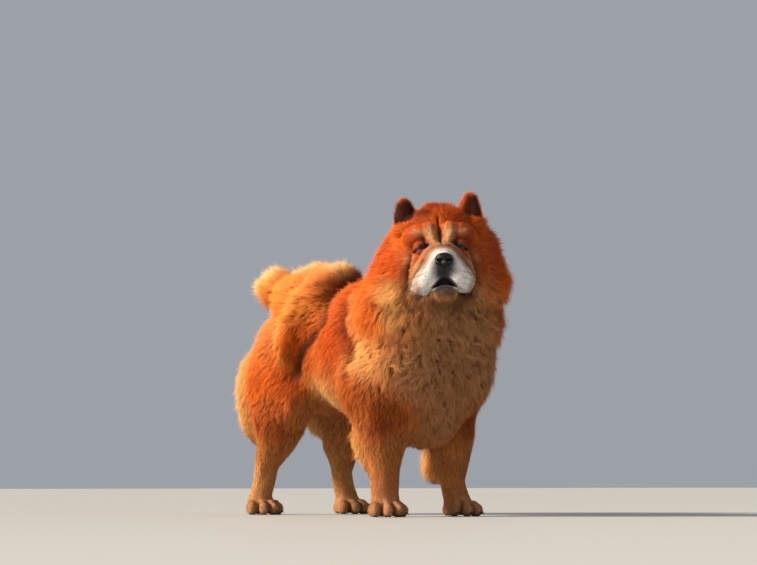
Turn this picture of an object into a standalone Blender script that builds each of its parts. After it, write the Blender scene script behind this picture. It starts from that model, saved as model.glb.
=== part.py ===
"""A chow chow standing with its head turned, as solids of the coat's outer form.

The dog faces -Y and its left side is +X, in metres, with the floor at z = 0.
The flesh is built whole, from egg-shaped masses that a voxel remesh welds together.
Thin cuts then part it into head, jaw, neck, trunk, legs and paws.
Tail, ears, eyes and nose are solids of their own, each let into the flesh.
"""

import math

import bmesh
import bpy
from mathutils import Euler, Matrix, Vector

# Driving dimensions of the standing dog, coat included
FRONT_FEET_Y = -0.196
HIND_FEET_Y = 0.238
FRONT_TRACK = 0.194
HIND_TRACK = 0.228
HIND_STAGGER = 0.010
BACK_HEIGHT = 0.525
CHEST_HALF_WIDTH = 0.174
RUMP_HALF_WIDTH = 0.148
PAW_HEIGHT = 0.038
TOE_OUT = math.radians(6)

# The head's own frame has its origin between the eyes' level and the line of the ears
HEAD_PLACE = (-0.0130, -0.268, 0.537)
HEAD_YAW = math.radians(33)
HEAD_PITCH = math.radians(7)
HEAD_ROLL = math.radians(3)

# Features of the head, measured in the head's own frame
EYE_PLACE = (0.0390, -0.0680, 0.002)
EYE_RADIUS = 0.0115
NOSE_PLACE = (0.0, -0.1460, -0.0410)
EAR_PLACE = (0.061, -0.014, 0.062)
EAR_SHIFT = 0.0040
RIGHT_EAR_DROP = 0.0060
EAR_HEIGHT = 0.068

# Where the legs are parted, as heights above the floor, and the width and length of the
# boxes that cut them
WRIST_HEIGHT = 0.044
FOREARM_TOP = 0.150
HOCK_TOP = 0.135
LEG_BOX = (0.175, 0.260)
LEG_BOX_BACK = 0.0325

# How the left and right legs differ as the dog stands: the forelegs' lean, the girth of
# their wrists and the place of their feathering, and the left hind leg's breeches and hock
LEFT_FORE_LEAN = -0.012
RIGHT_FORE_LEAN = 0.007
LEFT_WRIST_GIRTH = 0.0300
RIGHT_WRIST_GIRTH = 0.0345
LEFT_FEATHER_Y = -0.138
RIGHT_FEATHER_Y = -0.156
LEFT_BREECHES_RISE = 0.022
LEFT_HOCK_BACK = 0.017

# The toes of a paw, from the inner to the outer: place across, reach ahead and size
TOES = ((-1.5, 0.012, 0.92), (-0.5, 0.022, 1.0), (0.5, 0.022, 1.0), (1.5, 0.012, 0.92))
TOE_FAN = math.radians(11)

# Planes that part the tail in two lengths, the neck from the trunk, and, in the head's own
# frame, the head from the neck. Their cutters reach past the whole dog.
REACH = 0.8
HEAD_CUT = (0.0, 0.060, 0.0)
HEAD_CUT_NORMAL = (0.0, -0.72, 0.70)
TAIL_CUT = (-0.060, 0.090, 0.480)
TAIL_CUT_NORMAL = (-0.55, -0.60, -0.50)
NECK_CUT = (0.0, -0.215, 0.430)
NECK_CUT_NORMAL = (0.0, -0.62, 0.78)

# Gap between neighbouring solids, and the sizes of the voxel remesh
GAP = 0.0003
BODY_VOXEL = 0.0060
FINE_VOXEL = 0.0045
SMALL_VOXEL = 0.0025

# Triangles kept in each surface before it is parted, and how strongly detail is favoured
DETAIL_STRENGTH = 0.35
FACE_REACH = 0.115
PAW_REACH = 0.060
FLESH_TRIANGLES = 3060
TAIL_TRIANGLES = 560
EAR_TRIANGLES = 200
NOSE_TRIANGLES = 220

COAT_RED = (0.62, 0.24, 0.07, 1.0)
COAT_GOLD = (0.74, 0.40, 0.17, 1.0)
EAR_BROWN = (0.36, 0.12, 0.04, 1.0)
MUZZLE_GREY = (0.60, 0.54, 0.47, 1.0)
NOSE_BLACK = (0.015, 0.016, 0.020, 1.0)
EYE_BROWN = (0.030, 0.014, 0.008, 1.0)

UNTURNED = (0.0, 0.0, 0.0)
IDENTITY = Matrix.Identity(4)


def clear_scene():
    """Removes every object of the startup scene."""
    for obj in list(bpy.data.objects):
        bpy.data.objects.remove(obj, do_unlink=True)


def collection(name, helper=False):
    """A collection linked to the scene. A helper's objects are left out of renders."""
    made = bpy.data.collections.new(name)
    bpy.context.scene.collection.children.link(made)
    made.hide_render = helper
    return made


def finish(name, colour, roughness):
    """A Principled material of one colour."""
    material = bpy.data.materials.new(name)
    material.use_nodes = True
    shader = material.node_tree.nodes["Principled BSDF"]
    shader.inputs["Base Color"].default_value = colour
    shader.inputs["Roughness"].default_value = roughness
    shader.inputs["Metallic"].default_value = 0.0
    return material


def head_matrix():
    """Carries the head's own frame to the dog's: roll, then pitch up, then yaw to its right."""
    roll = Matrix.Rotation(-HEAD_ROLL, 4, "Y")
    pitch = Matrix.Rotation(-HEAD_PITCH, 4, "X")
    yaw = Matrix.Rotation(-HEAD_YAW, 4, "Z")
    return Matrix.Translation(HEAD_PLACE) @ yaw @ pitch @ roll


def turned(degrees):
    """A rotation from angles in degrees about X, Y and Z."""
    return Euler([math.radians(angle) for angle in degrees]).to_matrix().to_4x4()


def egg(bm, centre, radii, turn=UNTURNED, frame=IDENTITY, rings=3):
    """Adds an egg-shaped mass."""
    matrix = frame @ Matrix.Translation(centre) @ turned(turn) @ Matrix.Diagonal((*radii, 1.0))
    bmesh.ops.create_icosphere(bm, subdivisions=rings, radius=1.0, matrix=matrix)


def pair(bm, centre, radii, turn=UNTURNED, frame=IDENTITY):
    """Adds the same mass on the left and, mirrored, on the right."""
    x, y, z = centre
    about_x, about_y, about_z = turn
    egg(bm, (x, y, z), radii, turn, frame)
    egg(bm, (-x, y, z), radii, (about_x, -about_y, -about_z), frame)


def along(points, share):
    """The point at a share from 0 to 1 of a smooth line through the points."""
    last = len(points) - 1
    place = min(share * last, last - 1e-6)
    first = int(place)
    t = place - first
    p0, p1, p2, p3 = (
        Vector(points[min(max(first + step, 0), last)]) for step in (-1, 0, 1, 2)
    )
    bend = p0 * -0.5 + p1 * 1.5 - p2 * 1.5 + p3 * 0.5
    curve = p0 - p1 * 2.5 + p2 * 2.0 - p3 * 0.5
    return ((bend * t + curve) * t + (p2 - p0) * 0.5) * t + p1


def chain(bm, stations, balls):
    """Adds a limb: balls along a smooth line of stations, each a place and a radius."""
    for step in range(balls):
        x, y, z, radius = along(stations, step / (balls - 1))
        egg(bm, (x, y, z), (radius, radius, radius))


def placed(name, mesh, where):
    """An object of this mesh in the collection."""
    obj = bpy.data.objects.new(name, mesh)
    where.objects.link(obj)
    return obj


def mesh_of(bm, name):
    """The finished mesh of bm, which is freed."""
    mesh = bpy.data.meshes.new(name)
    bm.to_mesh(mesh)
    bm.free()
    return mesh


def evaluated_mesh(obj):
    """The object's mesh with its modifiers applied. The object is removed."""
    bpy.context.view_layer.update()
    graph = bpy.context.evaluated_depsgraph_get()
    mesh = bpy.data.meshes.new_from_object(obj.evaluated_get(graph))
    bpy.data.objects.remove(obj, do_unlink=True)
    return mesh


def welded(bm, voxel, strokes, where):
    """Welds the masses of bm into one surface and smooths it with so many strokes."""
    obj = placed("masses", mesh_of(bm, "masses"), where)
    remesh = obj.modifiers.new("weld", "REMESH")
    remesh.mode = "VOXEL"
    remesh.voxel_size = voxel
    smooth = obj.modifiers.new("smooth", "SMOOTH")
    smooth.factor = 0.5
    smooth.iterations = strokes
    return evaluated_mesh(obj)


def thinned(mesh, triangles, where, detail=None):
    """Keeps about so many triangles. Detail gives a point's weight, 1 where more of them stay."""
    obj = placed("thinned", mesh, where)
    decimate = obj.modifiers.new("thin", "DECIMATE")
    decimate.ratio = triangles / sum(len(face.vertices) - 2 for face in mesh.polygons)
    decimate.use_collapse_triangulate = True
    if detail:
        group = obj.vertex_groups.new(name="plain")
        for vertex in mesh.vertices:
            group.add([vertex.index], 1.0 - detail(vertex.co), "REPLACE")
        decimate.vertex_group = "plain"
        decimate.vertex_group_factor = DETAIL_STRENGTH
    return evaluated_mesh(obj)


def boolean(mesh, cutter, operation, where):
    """The mesh combined with a cutter mesh."""
    obj = placed("cut", mesh.copy(), where)
    tool = placed("cutter", cutter, where)
    tool.display_type = "WIRE"
    tool.hide_render = True
    modifier = obj.modifiers.new("cut", "BOOLEAN")
    modifier.operation = operation
    modifier.object = tool
    result = evaluated_mesh(obj)
    bpy.data.objects.remove(tool, do_unlink=True)
    return result


def swollen(mesh, by, where):
    """The mesh grown by a small distance along its normals."""
    obj = placed("swollen", mesh.copy(), where)
    grow = obj.modifiers.new("grow", "DISPLACE")
    grow.strength = by
    grow.mid_level = 0.0
    return evaluated_mesh(obj)


def foot_place(name, side):
    """Where a paw stands on the floor. Side is 1 on the left. The right hind paw is set back."""
    if name == "front":
        return Vector((side * FRONT_TRACK / 2, FRONT_FEET_Y, 0.0))
    set_back = HIND_STAGGER if side < 0 else 0.0
    return Vector((side * HIND_TRACK / 2, HIND_FEET_Y + set_back, 0.0))


def trunk_masses(bm):
    """Barrel, loin, rump, withers and the ruff that covers chest and neck."""
    egg(bm, (0, -0.060, 0.350), (0.152, 0.200, 0.160))
    egg(bm, (0, 0.080, 0.362), (0.146, 0.200, 0.130))
    egg(bm, (0, 0.200, 0.350), (RUMP_HALF_WIDTH, 0.142, 0.128))
    egg(bm, (0, -0.085, BACK_HEIGHT - 0.115), (0.128, 0.150, 0.106))
    egg(bm, (0.004, -0.205, 0.328), (CHEST_HALF_WIDTH - 0.012, 0.132, 0.150))
    egg(bm, (0.006, -0.215, 0.415), (CHEST_HALF_WIDTH, 0.137, 0.145))
    egg(bm, (0, -0.195, 0.255), (0.098, 0.100, 0.118))
    egg(bm, (-0.008, -0.215, 0.486), (0.130, 0.120, 0.100))


def front_leg_masses(bm, side):
    """Upper arm, forearm with its feathering, and wrist. Side is 1 on the left."""
    foot = foot_place("front", side)
    lean = LEFT_FORE_LEAN if side > 0 else RIGHT_FORE_LEAN
    girth = LEFT_WRIST_GIRTH if side > 0 else RIGHT_WRIST_GIRTH
    column = foot.x + lean
    egg(bm, (side * 0.105, -0.155, 0.275), (0.064, 0.090, 0.095), (12, 0, 0))
    chain(
        bm,
        [
            (side * 0.090, -0.166, 0.225, 0.064),
            (side * 0.087, -0.174, 0.160, 0.053),
            (column, -0.184, 0.115, 0.038),
            (column, foot.y + 0.010, 0.070, girth),
            (foot.x + lean / 2, foot.y + 0.004, 0.035, 0.0320),
        ],
        24,
    )
    egg(bm, (side * 0.090, -0.142, 0.165), (0.044, 0.062, 0.076), (-14, 0, 0))
    feather_back = LEFT_FEATHER_Y if side > 0 else RIGHT_FEATHER_Y
    egg(bm, (side * 0.079, feather_back, 0.118), (0.030, 0.054, 0.054), (-22, 0, 0))


def hind_leg_masses(bm, side):
    """Thigh, breeches, shin and hock. Side is 1 on the left."""
    foot = foot_place("hind", side)
    rise = LEFT_BREECHES_RISE if side > 0 else 0.0
    back = LEFT_HOCK_BACK if side > 0 else 0.0
    egg(bm, (side * 0.096, 0.200, 0.285), (0.070, 0.112, 0.125), (-8, 0, 0))
    egg(bm, (side * 0.080, 0.280, 0.266 + rise), (0.074, 0.080, 0.122))
    egg(bm, (side * 0.100, 0.150, 0.248), (0.052, 0.062, 0.070))
    chain(
        bm,
        [
            (side * 0.100, 0.195, 0.220, 0.068),
            (side * 0.100 - 0.6 * back, 0.208 + back, 0.165, 0.048 + 0.3 * back),
            (side * 0.104 - 0.3 * back, 0.239 + 0.5 * back, 0.120, 0.0325),
            (side * 0.106, 0.251 + 0.2 * back, 0.075, 0.0280),
            (foot.x, foot.y + 0.010, 0.035, 0.0290),
        ],
        24,
    )
    egg(bm, (foot.x, foot.y + 0.026, 0.020), (0.026, 0.018, 0.022))


def paw_masses(bm, foot, toe_out):
    """A cat-like paw: a low pad mass and four arched toes, fanned about the foot's heading."""
    heading = Matrix.Translation(foot) @ Matrix.Rotation(toe_out, 4, "Z")
    egg(bm, (0, 0.012, 0.014), (0.033, 0.035, 0.025), frame=heading)
    for spread, reach, size in TOES:
        fan = heading @ Matrix.Rotation(spread * TOE_FAN, 4, "Z")
        middle = (spread * 0.0165, -reach, PAW_HEIGHT * 0.38)
        tip = (spread * 0.0175, -reach - 0.013, PAW_HEIGHT * 0.26)
        egg(bm, middle, (0.0112 * size, 0.022, PAW_HEIGHT * 0.52), (24, 0, 0), fan)
        egg(bm, tip, (0.0105 * size, 0.014, PAW_HEIGHT * 0.38), (10, 0, 0), fan)


def skull_masses(bm, frame):
    """Skull, forehead, cheeks and the hair that frames the face."""
    egg(bm, (0, 0.030, 0.022), (0.094, 0.100, 0.082), frame=frame)
    egg(bm, (0.003, 0.004, 0.067), (0.092, 0.062, 0.047), frame=frame)
    pair(bm, (0.046, 0.000, 0.052), (0.038, 0.048, 0.044), frame=frame)
    pair(bm, (0.066, -0.012, -0.026), (0.050, 0.058, 0.064), frame=frame)
    egg(bm, (0.090, 0.030, 0.010), (0.046, 0.062, 0.086), (0, -18, 0), frame=frame)
    egg(bm, (-0.083, 0.028, 0.005), (0.044, 0.062, 0.083), (0, 18, 0), frame=frame)
    pair(bm, (0.103, 0.030, -0.050), (0.048, 0.058, 0.076), (0, -6, 0), frame=frame)
    egg(bm, (0, 0.020, -0.070), (0.095, 0.075, 0.060), frame=frame)


def muzzle_masses(bm, frame):
    """Bridge, padded upper lips, cheek pads and chin."""
    egg(bm, (0, -0.085, -0.028), (0.045, 0.060, 0.038), frame=frame)
    egg(bm, (0, -0.112, -0.036), (0.032, 0.036, 0.024), frame=frame)
    pair(bm, (0.030, -0.100, -0.060), (0.034, 0.042, 0.038), (0, -12, 0), frame=frame)
    pair(bm, (0.044, -0.078, -0.068), (0.026, 0.042, 0.034), (0, -14, 0), frame=frame)
    egg(bm, (0, -0.078, -0.092), (0.044, 0.044, 0.024), frame=frame)
    egg(bm, (0, -0.100, -0.094), (0.026, 0.024, 0.018), frame=frame)


def brow_masses(bm, frame):
    """The scowl: two padded brows beside the furrow, and a pad under each eye."""
    pair(bm, (0.019, -0.066, 0.020), (0.016, 0.020, 0.024), (18, 8, 0), frame=frame)
    pair(bm, (0.048, -0.052, 0.028), (0.028, 0.024, 0.020), (10, 22, 24), frame=frame)
    pair(bm, (0.050, -0.052, -0.022), (0.026, 0.024, 0.016), (0, 16, 20), frame=frame)


def flesh_mesh(where):
    """The whole body's surface, from the coarse masses first and the fine ones after."""
    head = head_matrix()
    bm = bmesh.new()
    trunk_masses(bm)
    for side in (1, -1):
        front_leg_masses(bm, side)
        hind_leg_masses(bm, side)
    skull_masses(bm, head)
    coarse = welded(bm, BODY_VOXEL, 10, where)
    bm = bmesh.new()
    bm.from_mesh(coarse)
    muzzle_masses(bm, head)
    brow_masses(bm, head)
    for side in (1, -1):
        for name in ("front", "hind"):
            paw_masses(bm, foot_place(name, side), side * TOE_OUT)
    return thinned(welded(bm, FINE_VOXEL, 3, where), FLESH_TRIANGLES, where, detail_share)


def detail_share(point):
    """How much finer the surface is kept at a point: most on the face and the paws."""
    face = head_matrix() @ Vector((0.0, -0.085, -0.030))
    from_face = (point - face).length / FACE_REACH
    above_paws = point.z / PAW_REACH
    return max(0.0, 1.0 - from_face ** 2, 0.6 - above_paws ** 2)


def tail_mesh(where):
    """The tail, from its set on the croup, arched over the back and down the right flank."""
    bm = bmesh.new()
    chain(
        bm,
        [
            (0.000, 0.236, 0.405, 0.052),
            (-0.012, 0.258, 0.462, 0.050),
            (-0.018, 0.215, 0.490, 0.060),
            (-0.024, 0.140, 0.498, 0.060),
            (-0.050, 0.082, 0.486, 0.055),
            (-0.106, 0.082, 0.440, 0.049),
            (-0.138, 0.098, 0.385, 0.038),
            (-0.146, 0.108, 0.348, 0.025),
        ],
        34,
    )
    egg(bm, (-0.036, 0.282, 0.505), (0.050, 0.054, 0.026), (-8, 0, 0))
    egg(bm, (0.016, 0.165, 0.492), (0.064, 0.115, 0.052))
    egg(bm, (-0.070, 0.165, 0.474), (0.056, 0.090, 0.056), (0, -16, 0))
    egg(bm, (-0.025, 0.062, 0.514), (0.050, 0.048, 0.034))
    return thinned(welded(bm, FINE_VOXEL, 8, where), TAIL_TRIANGLES, where)


def ear_mesh(side, frame, where):
    """A small thick triangular ear, tipped forward. Side is 1 on the left."""
    x, y, z = EAR_PLACE
    drop = RIGHT_EAR_DROP if side < 0 else 0.0
    place = frame @ Matrix.Translation((side * x + EAR_SHIFT, y, z - drop))
    place = place @ turned((-12, side * 5, side * -14))
    bm = bmesh.new()
    steps = 8
    for step in range(steps):
        share = step / (steps - 1)
        width = 0.022 * (1.0 - share ** 2.0) + 0.0115
        depth = 0.013 * (1.0 - share) + 0.0085
        egg(bm, (0, 0, EAR_HEIGHT * share - 0.010), (width, depth, 0.012), frame=place, rings=2)
    return thinned(welded(bm, SMALL_VOXEL, 3, where), EAR_TRIANGLES, where)


def nose_mesh(frame, where):
    """The broad nose leather, flat in front, with its two nostrils' wings."""
    bm = bmesh.new()
    place = frame @ Matrix.Translation(NOSE_PLACE)
    egg(bm, (0, 0.004, 0.004), (0.0175, 0.0130, 0.0110), frame=place, rings=2)
    pair(bm, (0.0100, 0.003, -0.001), (0.0095, 0.0115, 0.0100), frame=place)
    egg(bm, (0, 0.002, -0.007), (0.0065, 0.0100, 0.0080), frame=place, rings=2)
    return thinned(welded(bm, SMALL_VOXEL, 2, where), NOSE_TRIANGLES, where)


def eye_mesh(side, frame):
    """One eyeball. Side is 1 on the left."""
    bm = bmesh.new()
    x, y, z = EYE_PLACE
    egg(bm, (side * x, y, z), (EYE_RADIUS, EYE_RADIUS, EYE_RADIUS), frame=frame, rings=2)
    return mesh_of(bm, "eye")


def let_in(flesh, piece, where):
    """The flesh with room for a piece that sits in it, one gap clear all round."""
    return boolean(flesh, swollen(piece, GAP, where), "DIFFERENCE", where)


def parted(flesh, cutter, where):
    """Cuts the flesh in two along a cutter's surface: what is inside it, and the rest."""
    inside = boolean(flesh, cutter(0.0), "INTERSECT", where)
    rest = boolean(flesh, cutter(GAP), "DIFFERENCE", where)
    return inside, rest


def block(centre, size, frame=IDENTITY):
    """Gives a box-shaped cutter that can be grown by a gap."""

    def build(grow):
        bm = bmesh.new()
        scale = [length + 2 * grow for length in size]
        matrix = frame @ Matrix.Translation(centre) @ Matrix.Diagonal((*scale, 1.0))
        bmesh.ops.create_cube(bm, size=1.0, matrix=matrix)
        return mesh_of(bm, "block")

    return build


def beyond(point, normal):
    """Gives a cutter for all that lies beyond a plane, on the side its normal points to."""
    turn = Vector(normal).to_track_quat("Z", "Y").to_matrix().to_4x4()
    frame = Matrix.Translation(point) @ turn
    return block((0, 0, REACH / 2), (REACH, REACH, REACH), frame)


def egg_cutter(centre, radii):
    """Gives an egg-shaped cutter that can be grown by a gap."""

    def build(grow):
        bm = bmesh.new()
        egg(bm, centre, [radius + grow for radius in radii])
        return mesh_of(bm, "egg_cutter")

    return build


def cut_legs(flesh, nodes, finishes, where):
    """Parts each leg in paw, shin and the upper arm or thigh. Gives what is left of the flesh."""
    for side, name in ((1, "left"), (-1, "right")):
        for leg, shin_top in (("front", FOREARM_TOP), ("hind", HOCK_TOP)):
            foot = foot_place(leg, side)
            middle = (foot.x, foot.y + LEG_BOX_BACK, 0.0)
            paw, flesh = parted(flesh, block(middle, (*LEG_BOX, 2 * WRIST_HEIGHT)), where)
            shin_box = block(middle, (*LEG_BOX, 2 * shin_top))
            shin, flesh = parted(flesh, shin_box, where)
            nodes[leg + "_paw_" + name] = (paw, finishes["gold"])
            nodes[leg + "_shin_" + name] = (shin, finishes["gold"])
        arm_egg = egg_cutter((side * 0.125, -0.150, 0.200), (0.085, 0.115, 0.150))
        arm, flesh = parted(flesh, arm_egg, where)
        nodes["upper_arm_" + name] = (arm, finishes["red"])
        thigh_egg = egg_cutter((side * 0.130, 0.230, 0.230), (0.105, 0.150, 0.180))
        thigh, flesh = parted(flesh, thigh_egg, where)
        nodes["thigh_" + name] = (thigh, finishes["red"])
    return flesh


def cut_head_and_neck(flesh, nodes, finishes, where):
    """Parts jaw, head and neck from what becomes the trunk."""
    head = head_matrix()
    jaw_egg = egg_cutter(head @ Vector((0, -0.094, -0.108)), (0.034, 0.036, 0.024))
    jaw, flesh = parted(flesh, jaw_egg, where)
    nodes["jaw"] = (jaw, finishes["grey"])
    normal = head.to_3x3() @ Vector(HEAD_CUT_NORMAL)
    skull, flesh = parted(flesh, beyond(head @ Vector(HEAD_CUT), normal), where)
    nodes["head"] = (skull, finishes["red"])
    neck, trunk = parted(flesh, beyond(NECK_CUT, NECK_CUT_NORMAL), where)
    nodes["neck"] = (neck, finishes["gold"])
    nodes["trunk"] = (trunk, finishes["red"])


def stand_on_origin(parts):
    """Moves every mesh so that the origin is on the floor, under the middle of the whole."""
    corners = [vertex.co for obj in parts.objects for vertex in obj.data.vertices]
    middle_x = (min(co.x for co in corners) + max(co.x for co in corners)) / 2
    middle_y = (min(co.y for co in corners) + max(co.y for co in corners)) / 2
    shift = Matrix.Translation((-middle_x, -middle_y, 0.0))
    for obj in parts.objects:
        obj.data.transform(shift)


def main():
    clear_scene()
    parts = collection("chow_chow")
    helpers = collection("cutters", helper=True)
    head = head_matrix()
    finishes = {
        "red": finish("red_coat", COAT_RED, 0.85),
        "gold": finish("gold_coat", COAT_GOLD, 0.85),
        "brown": finish("ear_coat", EAR_BROWN, 0.85),
        "grey": finish("muzzle_coat", MUZZLE_GREY, 0.80),
        "black": finish("nose_leather", NOSE_BLACK, 0.40),
        "dark": finish("eye", EYE_BROWN, 0.08),
    }

    nodes = {"nose": (nose_mesh(head, helpers), finishes["black"])}
    for side, name in ((1, "left"), (-1, "right")):
        nodes["ear_" + name] = (ear_mesh(side, head, helpers), finishes["brown"])
        nodes["eye_" + name] = (eye_mesh(side, head), finishes["dark"])

    below_floor = block((0, 0, -REACH), (2 * REACH, 2 * REACH, 2 * REACH))
    flesh = boolean(flesh_mesh(helpers), below_floor(0.0), "DIFFERENCE", helpers)
    for mesh, _ in list(nodes.values()):
        flesh = let_in(flesh, mesh, helpers)

    tail = tail_mesh(helpers)
    flesh = let_in(flesh, tail, helpers)
    tip, base = parted(tail, beyond(TAIL_CUT, TAIL_CUT_NORMAL), helpers)
    nodes["tail_base"] = (base, finishes["gold"])
    nodes["tail_tip"] = (tip, finishes["gold"])

    flesh = cut_legs(flesh, nodes, finishes, helpers)
    cut_head_and_neck(flesh, nodes, finishes, helpers)

    for name, (mesh, material) in nodes.items():
        mesh.materials.clear()
        mesh.materials.append(material)
        placed(name, mesh, parts)
    stand_on_origin(parts)


main()
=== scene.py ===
"""The looks of a life-size chow chow: skin, coat, eyes, nose, claws and whiskers.

The dog faces -Y, its left side is +X, and it stands on z = 0. One skin replaces every
node of flesh and lies inside the coat's outer form. The coat grows from it in tufts.
"""

import math

import bmesh
import bpy
import numpy as np
from mathutils import Euler, Matrix, Vector, kdtree


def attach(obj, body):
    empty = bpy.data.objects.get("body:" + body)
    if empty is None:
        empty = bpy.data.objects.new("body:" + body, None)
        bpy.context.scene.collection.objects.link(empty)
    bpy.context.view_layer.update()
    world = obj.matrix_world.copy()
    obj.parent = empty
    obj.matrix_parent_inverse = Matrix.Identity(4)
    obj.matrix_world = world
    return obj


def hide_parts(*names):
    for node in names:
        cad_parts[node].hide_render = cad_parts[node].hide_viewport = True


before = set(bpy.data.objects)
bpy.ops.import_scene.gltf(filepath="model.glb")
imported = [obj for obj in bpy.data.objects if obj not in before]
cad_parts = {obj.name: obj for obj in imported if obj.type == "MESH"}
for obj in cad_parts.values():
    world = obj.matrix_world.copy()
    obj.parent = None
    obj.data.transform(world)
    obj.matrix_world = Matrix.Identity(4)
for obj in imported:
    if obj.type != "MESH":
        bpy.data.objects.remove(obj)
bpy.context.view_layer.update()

# The head's own frame, as the solids have it
HEAD_PLACE = Vector((-0.0143, -0.2405, 0.537))
HEAD_YAW = math.radians(33)
HEAD_PITCH = math.radians(7)
HEAD_ROLL = math.radians(3)
EYE_PLACE = (0.0390, -0.0680, 0.002)
LID_PLACE = (0.0390, -0.0660, 0.001)
NOSE_PLACE = (0.0, -0.1460, -0.0410)
EAR_PLACE = (0.061, -0.014, 0.062)
EAR_SHIFT = 0.0040
RIGHT_EAR_DROP = 0.0060
EAR_HEIGHT = 0.068

# The middle of each paw on the floor, and how far its toes turn out
PAWS = {
    "front_left": (0.0957, -0.1685),
    "front_right": (-0.0983, -0.1685),
    "hind_left": (0.1127, 0.2655),
    "hind_right": (-0.1153, 0.2755),
}
TOE_OUT = math.radians(6)
PAW_HEIGHT = 0.038
TOES = ((-1.5, 0.012, 0.92), (-0.5, 0.022, 1.0), (0.5, 0.022, 1.0), (1.5, 0.012, 0.92))
TOE_FAN = math.radians(11)
SOLE_HEIGHT = 0.0004

# Camera: where the photographer crouched, and how the picture is framed
CAMERA_PLACE = Vector((-2.869, -4.069, 0.070))
CAMERA_YAW = math.radians(-35.23)
CAMERA_PITCH = math.radians(4.92)
LENS_MM = 110.6

FLESH_NODES = [
    "head",
    "jaw",
    "neck",
    "trunk",
    "tail_base",
    "tail_tip",
    "ear_left",
    "ear_right",
]
for leg_part in ("upper_arm", "front_shin", "front_paw", "thigh", "hind_shin", "hind_paw"):
    FLESH_NODES += [leg_part + "_left", leg_part + "_right"]


def srgb(red, green, blue):
    """A linear colour from the 0 to 255 values that a paint chart gives."""
    return tuple(
        value / 12.92 if value <= 0.04045 else ((value + 0.055) / 1.055) ** 2.4
        for value in (red / 255, green / 255, blue / 255)
    )


COLOURS = {
    "red": srgb(180, 72, 15),
    "deep_red": srgb(146, 50, 11),
    "orange": srgb(200, 90, 20),
    "russet": srgb(170, 84, 32),
    "tan": srgb(188, 118, 60),
    "chest": srgb(178, 126, 84),
    "fawn": srgb(198, 146, 98),
    "gold": srgb(214, 152, 88),
    "brow": srgb(250, 206, 150),
    "amber": srgb(208, 124, 52),
    "cream": srgb(240, 198, 132),
    "grey": srgb(240, 236, 230),
    "slate": srgb(92, 94, 100),
    "brown": srgb(116, 68, 34),
    "ear_back": srgb(186, 80, 20),
    # Painted shade inside the ears' hollows, nearly black
    "ear_hollow_shade": srgb(28, 7, 3),
    # Painted shade for the face's creases, the toes' gaps and the shadows under the tail, behind
    # the mane, below the cheeks and by the right ear
    "painted_shade": srgb(50, 15, 5),
    "lip": srgb(30, 29, 33),
    "mouth": srgb(10, 8, 9),
    "lower_lip": srgb(122, 104, 96),
}


def head_matrix():
    """Carries the head's own frame to the dog's: roll, then pitch up, then yaw to its right."""
    roll = Matrix.Rotation(-HEAD_ROLL, 4, "Y")
    pitch = Matrix.Rotation(-HEAD_PITCH, 4, "X")
    yaw = Matrix.Rotation(-HEAD_YAW, 4, "Z")
    return Matrix.Translation(HEAD_PLACE) @ yaw @ pitch @ roll


HEAD = head_matrix()
TO_HEAD = HEAD.inverted()


def carried(points, matrix):
    """Rows of points, each carried by a matrix."""
    return points @ np.array(matrix.to_3x3()).T + np.array(matrix.translation)


def in_head(points):
    """Points of the dog in the head's own frame. Both are arrays of rows."""
    return carried(points, TO_HEAD)


class Face:
    """Points by their place in the head's frame: out to either side, back from it, and up."""

    def __init__(self, points):
        self.rows = in_head(points)
        self.across = np.abs(self.rows[:, 0])
        self.back, self.up = self.rows[:, 1], self.rows[:, 2]

    def near(self, line, width):
        """1 on a line of the face, falling to nothing about two widths from it."""
        return near_line(self.across, self.up, line, width)


def unit_rows(rows):
    """Rows of vectors, each brought to a length of one."""
    return rows / np.linalg.norm(rows, axis=1, keepdims=True)


def smoothstep(low, high, value):
    """0 below low, 1 above high, and a smooth rise between."""
    share = np.clip((value - low) / (high - low), 0.0, 1.0)
    return share * share * (3.0 - 2.0 * share)


def mixed(colour, other, share):
    """A row of colours, each moved towards another colour by its own share."""
    return colour + (np.asarray(other) - colour) * np.clip(share, 0.0, 1.0)[:, None]


# Lines on the face, in the head's own frame: (outwards from the middle, upwards)

FURROW = ((0.0, 0.066), (0.0, 0.045), (0.0, 0.022), (0.0, 0.000))
MUZZLE_EDGE = (
    (0.0, -0.0070),
    (0.018, -0.0090),
    (0.031, -0.0185),
    (0.043, -0.0390),
    (0.053, -0.0560),
    (0.063, -0.0680),
    (0.067, -0.0770),
)
MUZZLE_RIDGE = (
    (0.0, -0.0145),
    (0.017, -0.0165),
    (0.0285, -0.0265),
    (0.0395, -0.0450),
    (0.0495, -0.0620),
    (0.060, -0.0770),
)
MUZZLE_FOLD = (
    (0.0, -0.0215),
    (0.014, -0.0245),
    (0.026, -0.0340),
    (0.036, -0.0500),
    (0.046, -0.0640),
    (0.056, -0.0780),
)
MUZZLE_FLOOR = (
    (0.066, -0.0830),
    (0.061, -0.0915),
    (0.054, -0.0965),
    (0.043, -0.0990),
    (0.031, -0.0970),
    (0.0, -0.0900),
)
CHEEK_CREASE = ((0.058, -0.014), (0.0665, -0.040), (0.072, -0.070), (0.0755, -0.100))
UNDER_EYE = ((0.028, -0.004), (0.040, -0.014), (0.056, -0.016))
BROW_PAD = ((0.016, 0.016), (0.018, 0.030))
BROW_ARCH = ((0.032, 0.030), (0.046, 0.030))
PALE_CHEEK = ((0.060, -0.020), (0.066, -0.060))
BROW_CREASE = ((0.0330, 0.021), (0.0315, 0.014), (0.0285, 0.008))
EYE_SLIT = ((0.0285, 0.0060), (0.034, 0.0018), (0.042, -0.0015), (0.052, -0.0045))
EYE_CORNER = ((0.0290, 0.0050), (0.0400, 0.0000))
PHILTRUM = ((0.0, -0.050), (0.0, -0.072))
MOUTH_SIDE = ((0.021, -0.0885), (0.030, -0.0962), (0.036, -0.0990))
MOUTH_APEX = -0.0700
MOUTH_SLOPE = 1.3
MOUTH_ROUND = 0.012
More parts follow.
